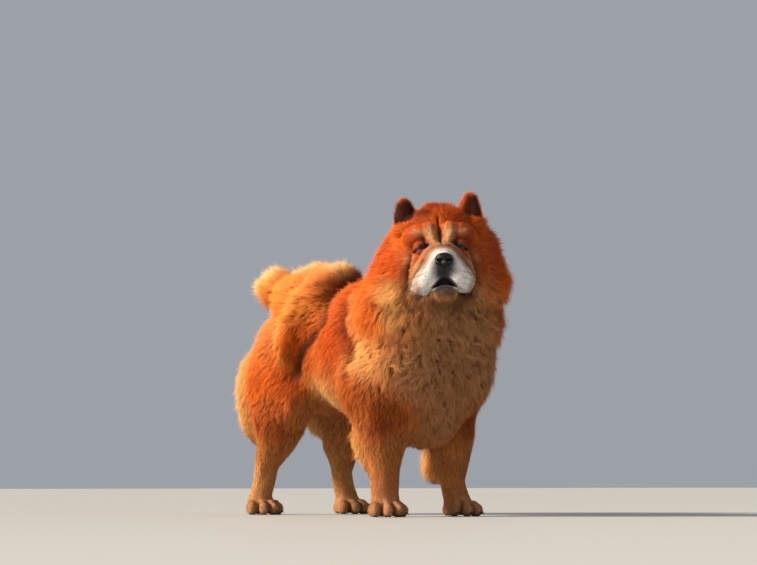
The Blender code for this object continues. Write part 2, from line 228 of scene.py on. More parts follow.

# Each line of painted shade on the face, at the eyes' slits also their dark rims: its line, its
# half-width and how dark it is
CREASES = (
    (EYE_SLIT, 0.0036, 1.0),
    (EYE_CORNER, 0.0056, 1.0),
    (BROW_CREASE, 0.0022, 0.55),
    (MUZZLE_EDGE, 0.0024, 0.40),
    (MUZZLE_FLOOR[:-2], 0.0026, 0.70),
    (CHEEK_CREASE, 0.0040, 0.45),
)

# The painted shadow at the foot of the right ear: (to the left, upwards)
EAR_SHADE = ((-0.060, 0.078), (-0.038, 0.080), (-0.018, 0.074))

# Each groove or ridge of the skin: its line, its depth (a ridge's is negative), its half-width
FOLDS = (
    (FURROW, 0.0042, 0.0032),
    (MUZZLE_EDGE, 0.0042, 0.0030),
    (MUZZLE_RIDGE, -0.0022, 0.0040),
    (MUZZLE_FOLD, 0.0008, 0.0022),
    (MUZZLE_FLOOR[:-1], 0.0040, 0.0030),
    (MOUTH_SIDE, 0.0045, 0.0018),
    (CHEEK_CREASE, 0.0060, 0.0042),
    (UNDER_EYE, 0.0014, 0.0022),
    (BROW_CREASE, 0.0026, 0.0024),
    (PHILTRUM, 0.0018, 0.0013),
)


def off_line(across, up, line):
    """How far each point (across, up) is from a line through the given points."""
    nearest = np.full(len(across), 9.0)
    for (x0, z0), (x1, z1) in zip(line, line[1:]):
        dx, dz = x1 - x0, z1 - z0
        share = ((across - x0) * dx + (up - z0) * dz) / (dx * dx + dz * dz)
        share = np.clip(share, 0.0, 1.0)
        gap = np.hypot(across - x0 - share * dx, up - z0 - share * dz)
        nearest = np.minimum(nearest, gap)
    return nearest


def near_line(across, up, line, width):
    """1 on the line, falling to nothing about two widths from it."""
    return np.exp(-((off_line(across, up, line) / width) ** 2))


def within(across, up, outline):
    """True where a point lies inside a closed outline."""
    found = np.zeros(len(across), bool)
    for (x0, z0), (x1, z1) in zip(outline, outline[1:] + outline[:1]):
        crosses = (z0 > up) != (z1 > up)
        at = x0 + (up - z0) * (x1 - x0) / (z1 - z0 + 1e-12)
        found ^= crosses & (across < at)
    return found


def inside_muzzle(face):
    """How far inside the muzzle's edge each point lies. It is negative outside."""
    far = off_line(face.across, face.up, MUZZLE_EDGE + MUZZLE_FLOOR[:2])
    inner = within(face.across, face.up, MUZZLE_EDGE + MUZZLE_FLOOR) & (face.back < -0.060)
    return np.where(inner, far, -far)


def lip_line(across):
    """Height of the upper lips' edge: an upturned V with a rounded top."""
    return MOUTH_APEX - MOUTH_SLOPE * (np.hypot(across, MOUTH_ROUND) - MOUTH_ROUND)


def in_mouth(face):
    """1 in the open mouth, between the upper lips and the chin, and 0 outside."""
    floor = -0.1005 + 12.0 * face.across**2
    under_lips = smoothstep(0.0, 0.0022, lip_line(face.across) - face.up)
    return under_lips * smoothstep(-0.001, 0.001, face.up - floor) * (face.back < -0.085)


def on_lower_lip(face):
    """1 on the lower lip, a low arch at the bottom of the mouth."""
    top = -0.0865 - 10.0 * face.across**2
    return smoothstep(-0.0012, 0.0012, top - face.up)


# Mesh helpers


def link(name, mesh):
    """An object of this mesh in the scene."""
    obj = bpy.data.objects.new(name, mesh)
    bpy.context.scene.collection.objects.link(obj)
    return obj


def mesh_of(bm, name):
    """The finished mesh of bm, which is freed."""
    mesh = bpy.data.meshes.new(name)
    bm.to_mesh(mesh)
    bm.free()
    return mesh


def baked(obj):
    """The object's mesh with its modifiers applied. The object is removed."""
    bpy.context.view_layer.update()
    graph = bpy.context.evaluated_depsgraph_get()
    mesh = bpy.data.meshes.new_from_object(
        obj.evaluated_get(graph), preserve_all_data_layers=True, depsgraph=graph
    )
    bpy.data.objects.remove(obj, do_unlink=True)
    return mesh


def welded(mesh, voxel, strokes):
    """One closed surface round all the shells of a mesh, smoothed with so many strokes."""
    obj = link("masses", mesh)
    remesh = obj.modifiers.new("weld", "REMESH")
    remesh.mode = "VOXEL"
    remesh.voxel_size = voxel
    smooth = obj.modifiers.new("smooth", "SMOOTH")
    smooth.factor = 0.5
    smooth.iterations = strokes
    return baked(obj)


def thinned(obj, share, group=""):
    """The object's mesh with this share of its faces, thinned within a vertex group if named."""
    thin = obj.modifiers.new("thin", "DECIMATE")
    thin.ratio = share
    thin.vertex_group = group
    return baked(obj)


def egg(bm, centre, radii, turn=(0, 0, 0), place=None, rings=3):
    """Adds an egg-shaped mass. Turn is in degrees about X, Y and Z."""
    spin = Euler([math.radians(angle) for angle in turn]).to_matrix().to_4x4()
    matrix = Matrix.Translation(centre) @ spin @ Matrix.Diagonal((*radii, 1.0))
    if place:
        matrix = place @ matrix
    bmesh.ops.create_icosphere(bm, subdivisions=rings, radius=1.0, matrix=matrix)


def pair(bm, centre, radii, turn=(0, 0, 0), place=None):
    """Adds the same mass on the left and, mirrored, on the right."""
    x, y, z = centre
    about_x, about_y, about_z = turn
    egg(bm, (x, y, z), radii, turn, place)
    egg(bm, (-x, y, z), radii, (about_x, -about_y, -about_z), place)


def points_of(mesh):
    """The mesh's points as an array of rows."""
    found = np.empty(len(mesh.vertices) * 3)
    mesh.vertices.foreach_get("co", found)
    return found.reshape(-1, 3)


def normals_of(mesh):
    """The normals at the mesh's points as an array of rows."""
    found = np.empty(len(mesh.vertices) * 3)
    mesh.vertices.foreach_get("normal", found)
    return found.reshape(-1, 3)


def set_points(mesh, points):
    """Moves the mesh's points to an array of rows."""
    mesh.vertices.foreach_set("co", points.ravel())
    mesh.update()


def edges_of(mesh):
    """The two points of each of the mesh's edges, by number, as an array of rows."""
    found = np.empty(len(mesh.edges) * 2, int)
    mesh.edges.foreach_get("vertices", found)
    return found.reshape(-1, 2)


def relaxed(values, edges, rounds):
    """Values at the points, each pulled halfway to its neighbours' mean in every round."""
    count = len(values)
    flat = values.reshape(count, -1).astype(float)
    degree = np.bincount(edges.ravel(), minlength=count).clip(1)[:, None]
    for _ in range(rounds):
        total = np.zeros_like(flat)
        for column in range(flat.shape[1]):
            total[:, column] = np.bincount(
                edges[:, 0], flat[edges[:, 1], column], count
            ) + np.bincount(edges[:, 1], flat[edges[:, 0], column], count)
        flat = 0.5 * flat + 0.5 * total / degree
    return flat.reshape(values.shape)


def soft_normals(mesh, edges):
    """The normals at the mesh's points, evened out between neighbours."""
    return unit_rows(relaxed(normals_of(mesh), edges, 4))


# How the coat lies: places on the dog, each with the way its hair is combed


class Station:
    """A place on the coat: its comb direction, hair length, lift, curl and colour."""

    def __init__(self, place, comb, length, lift, curl, colour, reach=0.06):
        self.place = Vector(place)
        self.comb = Vector(comb).normalized()
        self.length = length
        self.lift = lift
        self.curl = curl
        self.colour = colour
        self.reach = reach


def both_sides(rows):
    """Stations from rows, each off-centre one also mirrored to the dog's right."""
    found = []
    for place, comb, *rest in rows:
        found.append(Station(place, comb, *rest))
        if place[0]:
            mirrored = [(-x, y, z) for x, y, z in (place, comb)]
            found.append(Station(*mirrored, *rest))
    return found


def body_stations():
    """Trunk, ruff and legs."""
    return both_sides(
        [
            ((0, -0.040, 0.520), (0, 1, -0.1), 0.040, 0.52, 0.2, "red"),
            ((0, 0.080, 0.500), (0, 1, 0), 0.028, 0.50, 0.1, "red"),
            ((0, 0.260, 0.460), (0, 1, -0.5), 0.036, 0.50, 0.2, "orange"),
            ((0, 0.370, 0.330), (0, 0.3, -1), 0.038, 0.58, 0.2, "gold"),
            ((0.090, 0.375, 0.250), (0, 0.4, -1), 0.040, 0.58, 0.2, "cream"),
            ((0.160, -0.050, 0.380), (0, 0.5, -0.85), 0.024, 0.54, 0.1, "red"),
            ((0.150, 0.080, 0.360), (0, 0.6, -0.8), 0.022, 0.54, 0.1, "orange"),
            ((0.130, 0.160, 0.300), (0, 0.5, -0.9), 0.026, 0.50, 0.2, "orange"),
            ((0.100, 0.060, 0.235), (0, 0.6, -0.8), 0.022, 0.50, 0.2, "gold"),
            ((0.165, 0.240, 0.290), (0, 0.35, -0.93), 0.026, 0.54, 0.1, "orange"),
            ((0.150, 0.330, 0.300), (0, 0.5, -0.85), 0.030, 0.56, 0.1, "gold"),
            ((0.145, 0.220, 0.215), (0, 0.3, -0.95), 0.024, 0.46, 0.7, "russet"),
            ((0.115, 0.260, 0.140), (0, 0.2, -1), 0.014, 0.36, 0.1, "tan"),
            ((0.115, 0.280, 0.090), (0, 0.15, -1), 0.011, 0.34, 0.1, "gold"),
            ((0.115, 0.260, 0.050), (0, 0, -1), 0.009, 0.32, 0.1, "gold"),
            ((0.115, 0.245, 0.020), (0, -0.9, -0.4), 0.0070, 0.30, 0.0, "fawn"),
            ((0.155, -0.130, 0.270), (0, 0.3, -0.95), 0.030, 0.46, 0.3, "russet"),
            ((0.120, -0.200, 0.200), (0, 0.15, -1), 0.022, 0.46, 0.2, "russet"),
            ((0.100, -0.215, 0.140), (0, 0.15, -1), 0.014, 0.36, 0.2, "tan"),
            ((0.085, -0.070, 0.140), (-0.2, 0.7, -0.8), 0.034, 0.54, 0.4, "gold"),
            ((0.095, -0.170, 0.080), (0, 0.1, -1), 0.010, 0.30, 0.1, "tan"),
            ((0.095, -0.165, 0.050), (0, 0.1, -1), 0.009, 0.32, 0.1, "tan"),
            ((0.097, -0.190, 0.020), (0, -0.9, -0.4), 0.0070, 0.30, 0.0, "fawn"),
            ((0.000, -0.310, 0.330), (0, -0.2, -1), 0.038, 0.54, 1.0, "chest"),
            ((0.090, -0.290, 0.300), (0.3, -0.1, -1), 0.038, 0.54, 1.0, "chest"),
            ((0.000, -0.270, 0.200), (0, -0.1, -1), 0.038, 0.52, 0.9, "chest"),
            ((0.175, -0.190, 0.420), (0.2, 0.5, -0.8), 0.046, 0.54, 0.6, "orange"),
            ((0.165, -0.160, 0.340), (0.2, 0.5, -0.9), 0.046, 0.56, 0.8, "gold"),
            ((0.120, -0.080, 0.500), (0.2, 1, -0.4), 0.046, 0.54, 0.3, "red"),
            ((0.000, -0.090, 0.570), (0, 1, -0.2), 0.046, 0.54, 0.3, "red"),
            ((0.000, -0.310, 0.420), (0, -0.3, -1), 0.042, 0.54, 0.9, "chest"),
        ]
    )


def tail_stations():
    """The plume: hair fans out from the curl, up and back, and hangs down the right flank."""
    rows = [
        ((0.000, 0.300, 0.430), (0, 0.6, 0.6), 0.036, 0.50, 0.3, "orange"),
        ((-0.036, 0.335, 0.505), (-0.1, 1, 0.25), 0.048, 0.60, 0.3, "cream"),
        ((0.040, 0.280, 0.500), (0.6, 0.7, 0.2), 0.044, 0.56, 0.3, "gold"),
        ((-0.020, 0.240, 0.550), (-0.1, 0.9, 0.4), 0.050, 0.60, 0.3, "cream"),
        ((-0.060, 0.290, 0.545), (-0.2, 0.9, 0.4), 0.050, 0.60, 0.3, "cream"),
        ((-0.070, 0.265, 0.490), (-0.3, 0.9, 0.3), 0.048, 0.60, 0.4, "amber"),
        ((0.000, 0.120, 0.560), (0, 0.7, 0.7), 0.046, 0.60, 0.3, "cream"),
        ((0.075, 0.190, 0.500), (1, 0.1, -0.2), 0.044, 0.56, 0.3, "gold"),
        ((-0.025, 0.070, 0.530), (-0.1, 0.5, 0.8), 0.042, 0.58, 0.4, "cream"),
        ((-0.100, 0.190, 0.480), (-0.3, 0.9, 0.3), 0.044, 0.58, 0.4, "amber"),
        ((-0.120, 0.100, 0.450), (-0.4, 0.6, -0.3), 0.042, 0.54, 0.7, "amber"),
        ((-0.155, 0.150, 0.400), (-0.2, 0.5, -0.7), 0.040, 0.54, 0.5, "gold"),
        ((-0.150, 0.150, 0.345), (0, 0.4, -0.9), 0.042, 0.50, 0.6, "amber"),
    ]
    return [Station(*row, 0.035) for row in rows]


def head_stations():
    """Face, crown and cheeks, from rows in the head's own frame."""
    rows = both_sides(
        [
            ((0.000, -0.140, -0.010), (0, 0.6, 1), 0.0035, 0.16, 0.0, "fawn"),
            ((0.000, -0.100, 0.008), (0, 0.7, 0.8), 0.0050, 0.18, 0.0, "fawn"),
            ((0.020, -0.085, 0.020), (0.3, 0.2, 1), 0.0090, 0.32, 0.2, "russet"),
            ((0.050, -0.070, 0.032), (0.8, 0.4, 0.6), 0.0140, 0.42, 0.1, "red"),
            ((0.000, -0.070, 0.055), (0, 0.3, 1), 0.0130, 0.34, 0.1, "orange"),
            ((0.040, -0.055, 0.060), (0.4, 0.4, 1), 0.0150, 0.38, 0.1, "red"),
            ((0.000, -0.030, 0.100), (0, 0.7, 0.7), 0.0200, 0.42, 0.1, "deep_red"),
            ((0.036, -0.020, 0.100), (0.1, 0.7, 0.7), 0.0240, 0.48, 0.1, "red"),
            ((0.000, 0.060, 0.100), (0, 1, -0.1), 0.0280, 0.50, 0.2, "red"),
            ((0.035, -0.135, -0.060), (0.6, 0.5, -0.7), 0.0035, 0.16, 0.0, "fawn"),
            ((0.055, -0.105, -0.075), (0.7, 0.6, -0.5), 0.0045, 0.18, 0.0, "fawn"),
            ((0.000, -0.120, -0.104), (0, 0.2, -1), 0.0150, 0.46, 0.3, "gold"),
            ((0.060, -0.070, -0.025), (0.8, 0.7, 0.0), 0.0110, 0.32, 0.1, "orange"),
            ((0.080, -0.055, -0.040), (0.6, 0.9, -0.2), 0.0170, 0.40, 0.2, "red"),
            ((0.075, -0.045, 0.030), (0.6, 0.9, 0.3), 0.0150, 0.40, 0.1, "orange"),
            ((0.115, 0.010, 0.020), (0.5, 1.0, 0.0), 0.0380, 0.50, 0.1, "red"),
            ((0.100, -0.030, -0.010), (0.6, 0.9, 0.0), 0.0260, 0.46, 0.2, "red"),
            ((0.125, 0.000, -0.050), (0.5, 0.9, -0.4), 0.0420, 0.50, 0.2, "orange"),
            ((0.092, -0.052, -0.075), (0.4, 0.4, -0.9), 0.0380, 0.52, 0.2, "gold"),
            ((0.090, -0.040, -0.110), (0.3, 0.3, -0.9), 0.0380, 0.50, 0.4, "gold"),
            ((0.000, -0.050, -0.125), (0, 0.3, -1), 0.0260, 0.50, 0.6, "chest"),
        ]
    )
    for row in rows:
        row.place = HEAD @ row.place
        row.comb = HEAD.to_3x3() @ row.comb
        row.reach = min(row.reach, 0.035)
    return rows


STATIONS = body_stations() + tail_stations() + head_stations()


def coat_fields(points):
    """The coat's comb, length, lift, curl and colour at each point, blended from the stations."""
    weights = np.empty((len(points), len(STATIONS)))
    for column, row in enumerate(STATIONS):
        far = np.linalg.norm(points - np.array(row.place), axis=1) / row.reach
        weights[:, column] = 1.0 / (far**4 + 1e-4)
    weights /= weights.sum(axis=1, keepdims=True)

    def blend(values):
        return weights @ np.array(values, float)

    return {
        "comb": blend([tuple(row.comb) for row in STATIONS]),
        "length": blend([row.length for row in STATIONS]),
        "lift": blend([row.lift for row in STATIONS]),
        "curl": blend([row.curl for row in STATIONS]),
        "tone": blend([COLOURS[row.colour] for row in STATIONS]),
    }


# The skin

# Sides of the cells from which the body's form and then the skin are woven
BODY_CELL = 0.005
SKIN_CELL = 0.0028

# Shares of the faces kept, first away from face, ears and paws and then everywhere
COARSE_SHARE = 0.34
KEPT_SHARE = 0.62

EYE_SLIT_DEPTH = 0.0085
MOUTH_DEPTH = 0.014
EAR_HOLLOW = 0.011
TOE_GAP_DEPTH = 0.0065


def flesh_copy():
    """Copies of all the flesh nodes in one mesh, each grown a little so that they overlap."""
    grow = 0.0006
    bm = bmesh.new()
    for name in FLESH_NODES:
        piece = bmesh.new()
        piece.from_mesh(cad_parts[name].data)
        bmesh.ops.remove_doubles(piece, verts=piece.verts, dist=0.00002)
        piece.normal_update()
        for vert in piece.verts:
            vert.co += vert.normal * grow
        mesh = mesh_of(piece, name + "_copy")
        bm.from_mesh(mesh)
        bpy.data.meshes.remove(mesh)
    return mesh_of(bm, "flesh")


def coat_depth(points):
    """How far below the hair's tips the skin lies."""
    fields = coat_fields(points)
    return 0.9 * fields["length"] * fields["lift"] + 0.0012


def sunk(mesh, rounds):
    """Moves a surface inwards by the coat's depth, a little in each round."""
    points = points_of(mesh)
    edges = edges_of(mesh)
    depth = coat_depth(points) + MANE_STEP * behind_mane(points)
    depth += TAIL_STEP * tail_shadow(points, 0.022)
    depth += NECK_STEP * below_cheeks(points)
    depth = relaxed(depth, edges, 4)[:, None]
    for _ in range(rounds):
        normals = relaxed(normals_of(mesh), edges, 3)
        points = points - normals * depth / rounds
        set_points(mesh, points)
    set_points(mesh, relaxed(points, edges, 3))
    return mesh


def face_masses(bm):
    """Muzzle, lips, chin and brows, fine enough to keep their folds."""
    pair(bm, (0.030, -0.099, -0.060), (0.0325, 0.0405, 0.0365), (0, -12, 0), HEAD)
    pair(bm, (0.043, -0.078, -0.068), (0.0245, 0.0405, 0.0325), (0, -14, 0), HEAD)
    egg(bm, (0, -0.085, -0.029), (0.0435, 0.0585, 0.0365), place=HEAD)
    egg(bm, (0, -0.111, -0.037), (0.0310, 0.0350, 0.0230), place=HEAD)
    egg(bm, (0, -0.098, -0.094), (0.0260, 0.0240, 0.0180), place=HEAD)
    pair(bm, (0.019, -0.058, 0.024), (0.0185, 0.0200, 0.0300), (18, 8, 0), HEAD)
    pair(bm, (0.047, -0.052, 0.028), (0.0290, 0.0205, 0.0210), (10, 22, 24), HEAD)
    pair(bm, (0.050, -0.051, -0.022), (0.0250, 0.0230, 0.0155), (0, 16, 20), HEAD)
    pair(bm, LID_PLACE, (0.0140, 0.0140, 0.0140), (0, 0, 0), HEAD)


def tail_masses(bm):
    """Fills the dip between the tail's curl and its tip."""
    egg(bm, (-0.062, 0.275, 0.497), (0.030, 0.034, 0.024), (0, 20, 0))


def ear_frame(side):
    """Carries an ear's own frame to the dog's. Side is 1 on the left."""
    x, y, z = EAR_PLACE
    turn = Euler([math.radians(angle) for angle in (-12, side * 5, side * -14)])
    drop = RIGHT_EAR_DROP if side < 0 else 0.0
    place = Matrix.Translation((side * x + EAR_SHIFT, y, z - drop))
    return HEAD @ place @ turn.to_matrix().to_4x4()


def ear_half_width(share):
    """Half the ear's width at a share of its height."""
    return 0.0200 * (1.0 - share**2) + 0.0128


def ear_masses(bm):
    """The two ears: thick below and round at the tip."""
    for side in (1, -1):
        place = ear_frame(side)
        for step in range(12):
            share = step / 11
            depth = 0.0120 * (1.0 - share) + 0.0072
            radii = (ear_half_width(share), depth, 0.011)
            egg(bm, (0, 0, EAR_HEIGHT * share - 0.011), radii, place=place)


def paw_frame(name):
    """Carries a paw's own frame to the dog's: its toes lie towards -Y."""
    side = 1 if name.endswith("left") else -1
    x, y = PAWS[name]
    return Matrix.Translation((x, y, 0)) @ Matrix.Rotation(side * TOE_OUT, 4, "Z")


def toe_points(spread, reach):
    """The middle and the tip of a toe, in the paw's own frame."""
    fan = Matrix.Rotation(spread * TOE_FAN, 4, "Z")
    middle = fan @ Vector((spread * 0.0165, -reach, PAW_HEIGHT * 0.38))
    tip = fan @ Vector((spread * 0.0175, -reach - 0.013, PAW_HEIGHT * 0.26))
    return middle, tip


def toe_masses(bm):
    """The arched toes of every paw."""
    for name in PAWS:
        place = paw_frame(name)
        for spread, reach, size in TOES:
            fan = place @ Matrix.Rotation(spread * TOE_FAN, 4, "Z")
            knuckle = (spread * 0.0168, -reach - 0.002, PAW_HEIGHT * 0.46)
            tip = (spread * 0.0175, -reach - 0.0125, PAW_HEIGHT * 0.33)
            egg(bm, knuckle, (0.0106 * size, 0.0150, PAW_HEIGHT * 0.42), (20, 0, 0), fan)
            egg(bm, tip, (0.0104 * size, 0.0130, PAW_HEIGHT * 0.38), (10, 0, 0), fan)


def refined(mesh, chosen):
    """Splits the edges between chosen points, then evens the new points out."""
    bm = bmesh.new()
    bm.from_mesh(mesh)
    bm.verts.ensure_lookup_table()
    edges = [edge for edge in bm.edges if all(chosen[vert.index] for vert in edge.verts)]
    bmesh.ops.subdivide_edges(bm, edges=edges, cuts=1, use_grid_fill=True)
    bmesh.ops.triangulate(bm, faces=[face for face in bm.faces if len(face.verts) > 3])
    return mesh_of(bm, "skin")


def face_share(points):
    """How much each point belongs to the front of the face, from 0 to 1."""
    face = Face(points)
    share = smoothstep(-0.015, -0.045, face.back) * smoothstep(0.095, 0.080, face.across)
    return share * smoothstep(0.085, 0.065, face.up) * smoothstep(-0.125, -0.110, face.up)


def fold(mesh):
    """Works the folds, the eyes' slits, the mouth, the ears' hollows and the toes' gaps in."""
    points = points_of(mesh)
    edges = edges_of(mesh)
    on_front = face_share(points)[:, None] > 0.3
    points = np.where(on_front, relaxed(points, edges, 4), points)
    set_points(mesh, points)
    normals = soft_normals(mesh, edges)
    face = Face(points)
    depth = sum(deep * face.near(line, width) for line, deep, width in FOLDS)
    slit = np.maximum(face.near(EYE_SLIT, 0.0022), face.near(EYE_CORNER, 0.0038))
    depth = np.maximum(depth, EYE_SLIT_DEPTH * slit)
    depth *= smoothstep(-0.020, -0.035, face.back)
    hollow = MOUTH_DEPTH * in_mouth(face) * (1.0 - on_lower_lip(face))
    moved = points - normals * depth[:, None]
    moved += hollow[:, None] * np.array(HEAD.to_3x3().col[1])
    for side in (1, -1):
        moved += ear_hollow(points, normals, side)
    moved += toe_gaps(points, normals)
    moved[:, 2] = np.maximum(moved[:, 2], SOLE_HEIGHT)
    set_points(mesh, moved)


def ear_inside(local, share, side):
    """1 in an ear's hollow, which on the left shows only in its outer half, and 0 outside."""
    out = side * local[:, 0] / ear_half_width(share)
    start = -0.50 if side > 0 else -0.90
    inner = smoothstep(start, start + 0.45, out) * smoothstep(0.97, 0.80, out)
    return inner * smoothstep(-0.02, 0.12, share) * smoothstep(0.96, 0.70, share)


def ear_hollow(points, normals, side):
    """How the front of an ear sinks between its thick rims."""
    to_ear = ear_frame(side).inverted()
    local = carried(points, to_ear)
    facing = (normals @ np.array(to_ear.to_3x3()).T)[:, 1]
    share = np.clip(local[:, 2] / EAR_HEIGHT, 0.0, 1.0)
    inner = ear_inside(local, share, side)
    inner *= smoothstep(0.0, -0.5, facing) * (np.abs(local[:, 1]) < 0.03) * (local[:, 2] > 0)
    backwards = ear_frame(side).to_3x3().col[1]
    return (EAR_HOLLOW * (1.0 - 0.6 * share) * inner)[:, None] * np.array(backwards)


def toe_gaps(points, normals):
    """How the skin sinks between the toes."""
    moved = np.zeros_like(points)
    for name in PAWS:
        local = carried(points, paw_frame(name).inverted())
        near = (np.hypot(local[:, 0], local[:, 1] + 0.02) < 0.05) & (local[:, 2] < 0.042)
        gap = toe_gap_share(local[:, 0], local[:, 1]) * near
        gap *= smoothstep(0.001, 0.006, local[:, 2]) * smoothstep(0.038, 0.024, local[:, 2])
        moved -= normals * (TOE_GAP_DEPTH * gap)[:, None]
    return moved


def toe_gap_share(across, along):
    """1 on the lines between a paw's toes and 0 on the toes."""
    share = np.zeros(len(across))
    ends = [toe_points(spread, reach) for spread, reach, _ in TOES]
    for (middle, tip), (next_middle, next_tip) in zip(ends, ends[1:]):
        start = (middle + next_middle) / 2 - Vector((0, 0.009, 0))
        stop = (tip + next_tip) / 2
        stop = stop + (stop - start) * 0.8
        line = ((start.x, start.y), (stop.x, stop.y))
        share = np.maximum(share, near_line(across, along, line, 0.0030))
    return share


def make_skin():
    """One closed skin: the flesh sunk by the coat's depth, with the finer masses on it."""
    base = sunk(welded(flesh_copy(), BODY_CELL, 4), 5)
    bm = bmesh.new()
    bm.from_mesh(base)
    face_masses(bm)
    ear_masses(bm)
    toe_masses(bm)
    tail_masses(bm)
    mesh = welded(mesh_of(bm, "skin"), SKIN_CELL, 2)
    points = points_of(mesh)
    face = Face(points)
    ears = (face.up > 0.060) & (face.across > 0.030)
    fine = (face_share(points) > 0.05) | ears | (points[:, 2] < 0.045)
    obj = link("skin", mesh)
    group = obj.vertex_groups.new(name="coarse")
    group.add([int(index) for index in np.nonzero(~fine)[0]], 1.0, "REPLACE")
    mesh = thinned(obj, COARSE_SHARE, "coarse")
    mesh = refined(mesh, face_share(points_of(mesh)) > 0.3)
    face = Face(points_of(mesh))
    close = face.near(EYE_SLIT, 0.010) + face.near(PHILTRUM, 0.030)
    close += face.near(MUZZLE_FOLD, 0.010) + face.near(MUZZLE_EDGE, 0.006)
    mesh = refined(mesh, (close > 0.3) & (face.back < -0.040))
    fold(mesh)
    mesh = thinned(link("skin", mesh), KEPT_SHARE)
    mesh.shade_smooth()
    return link("skin", mesh)


# Where the mane ends behind the shoulder, on the dog's right and, mirrored, on its left
MANE_EDGE = ((0.560, -0.020), (0.454, -0.050), (0.387, -0.088), (0.340, -0.110), (0.291, -0.128))
MANE_STEP = 0.011
MANE_CREASE = 0.011


def behind_mane(points, shift=0.0):
    """1 in the crease behind the mane, or shifted back from it, and 0 away from there."""
    waves = 0.007 * np.sin(points[:, 2] * 75.0) + 0.004 * np.sin(points[:, 2] * 190.0 + 1.0)
    far = off_line(points[:, 2], points[:, 1] - shift + waves, MANE_EDGE)
    upper = smoothstep(0.27, 0.31, points[:, 2]) * smoothstep(0.56, 0.50, points[:, 2])
    side = smoothstep(0.05, 0.09, -points[:, 0]) + 0.5 * smoothstep(0.05, 0.09, points[:, 0])
    return np.exp(-((far / MANE_CREASE) ** 2)) * upper * side


# The crease below the cheeks' long hair, in the head's frame, and its depth
NECK_LINE = ((0.125, -0.092), (0.108, -0.108), (0.089, -0.118), (0.069, -0.117), (0.049, -0.116))
NECK_STEP = 0.006


def below_cheeks(points):
    """1 in the crease between cheeks and neck, and 0 away from it."""
    face = Face(points)
    return face.near(NECK_LINE, 0.009) * smoothstep(0.07, 0.04, face.back)


# The crease between the tail's lower edge and the right flank, and its depth
TAIL_EDGE = (
    (-0.010, 0.064, 0.496),
    (-0.040, 0.060, 0.480),
    (-0.119, 0.006, 0.413),
    (-0.127, 0.071, 0.364),
    (-0.122, 0.113, 0.321),
    (-0.120, 0.129, 0.308),
)
TAIL_STEP = 0.009


def tail_shadow(points, width):
    """1 in the crease under the tail's edge, falling to nothing about two widths away."""
    nearest = np.full(len(points), 9.0)
    for start, stop in zip(TAIL_EDGE, TAIL_EDGE[1:]):
        start, way = np.array(start), np.array(stop) - np.array(start)
        share = np.clip((points - start) @ way / (way @ way), 0.0, 1.0)
        gap = np.linalg.norm(points - start - share[:, None] * way, axis=1)
        nearest = np.minimum(nearest, gap)
    return np.exp(-((nearest / width) ** 2))


def set_field(mesh, name, values, kind):
    """Stores values at the mesh's points under a name."""
    slot = {"FLOAT": "value", "FLOAT_VECTOR": "vector", "FLOAT_COLOR": "color"}[kind]
    layer = mesh.attributes.new(name, kind, "POINT")
    if kind == "FLOAT_COLOR":
        values = np.column_stack([values, np.ones(len(values))])
    layer.data.foreach_set(slot, np.ascontiguousarray(values, np.float32).ravel())


# Length of the hair on the muzzle and the ears, and by the soles as a share of the height
MUZZLE_HAIR = 0.0042
EAR_HAIR = 0.0090
SOLE_HAIR = 0.6

REGIONS = "face ears head ruff chest barrel rump forelegs hindlegs tail".split()


def region_of(points):
    """The number of the coat piece that each point grows, from the nearest CAD node."""
    tree_points = []
    owners = []
    for name in FLESH_NODES:
        for co in points_of(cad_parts[name].data):
            if name == "trunk":
                part = "chest" if co[1] < -0.10 else "barrel" if co[1] < 0.15 else "rump"
            elif name.startswith(("upper_arm", "front")):
                part = "forelegs"
            elif name.startswith(("thigh", "hind")):
                part = "hindlegs"
            elif name.startswith("tail"):
                part = "tail"
            elif name.startswith("ear"):
                part = "ears"
            else:
                part = "ruff" if name == "neck" else "head"
            tree_points.append(co)
            owners.append(REGIONS.index(part))
    tree = kdtree.KDTree(len(tree_points))
    for index, co in enumerate(tree_points):
        tree.insert(co, index)
    tree.balance()
    found = np.array([owners[tree.find(co)[1]] for co in points])
    face = Face(points)
    front = (face.back < -0.040) & (face.across < 0.080)
    front &= (face.up < 0.055) & (face.up > -0.112)
    return np.where(front, REGIONS.index("face"), found)


class Coat(Face):
    """The coat's fields at the skin's points, while they are being painted."""

    def __init__(self, points):
        super().__init__(points)
        self.points = points
        self.front = smoothstep(-0.025, -0.045, self.back)
        self.fields = coat_fields(points)
        self.fields["bare"] = np.zeros(len(points))

    def tint(self, colour, share):
        """Moves each point's tone towards a colour by the point's own share."""
        self.fields["tone"] = mixed(self.fields["tone"], COLOURS[colour], share)

    def clear(self, share):
        """Leaves out at least this share of each point's hair."""
        self.fields["bare"] = np.maximum(self.fields["bare"], share)


def wavering(face):
    """A small ripple that frays the edges of the muzzle's markings."""
    return 0.0016 * np.sin(face.across * 900.0) * np.cos(face.up * 700.0)


def paint_brows(coat):
    """Light streaked pads beside the furrow, dark lids and pale cheeks by the muzzle."""
    brow = np.maximum(coat.near(BROW_PAD, 0.0105), 0.5 * coat.near(BROW_ARCH, 0.0070))
    streaks = 0.25 * np.sin(coat.across * 700.0 + coat.up * 260.0) * np.cos(coat.up * 420.0)
    coat.tint("brow", 0.90 * brow * (0.75 + streaks) * coat.front)
    coat.tint("deep_red", 0.50 * coat.near(EYE_SLIT, 0.0110) * coat.front)
    coat.tint("fawn", 0.55 * coat.near(PALE_CHEEK, 0.0120) * coat.front)


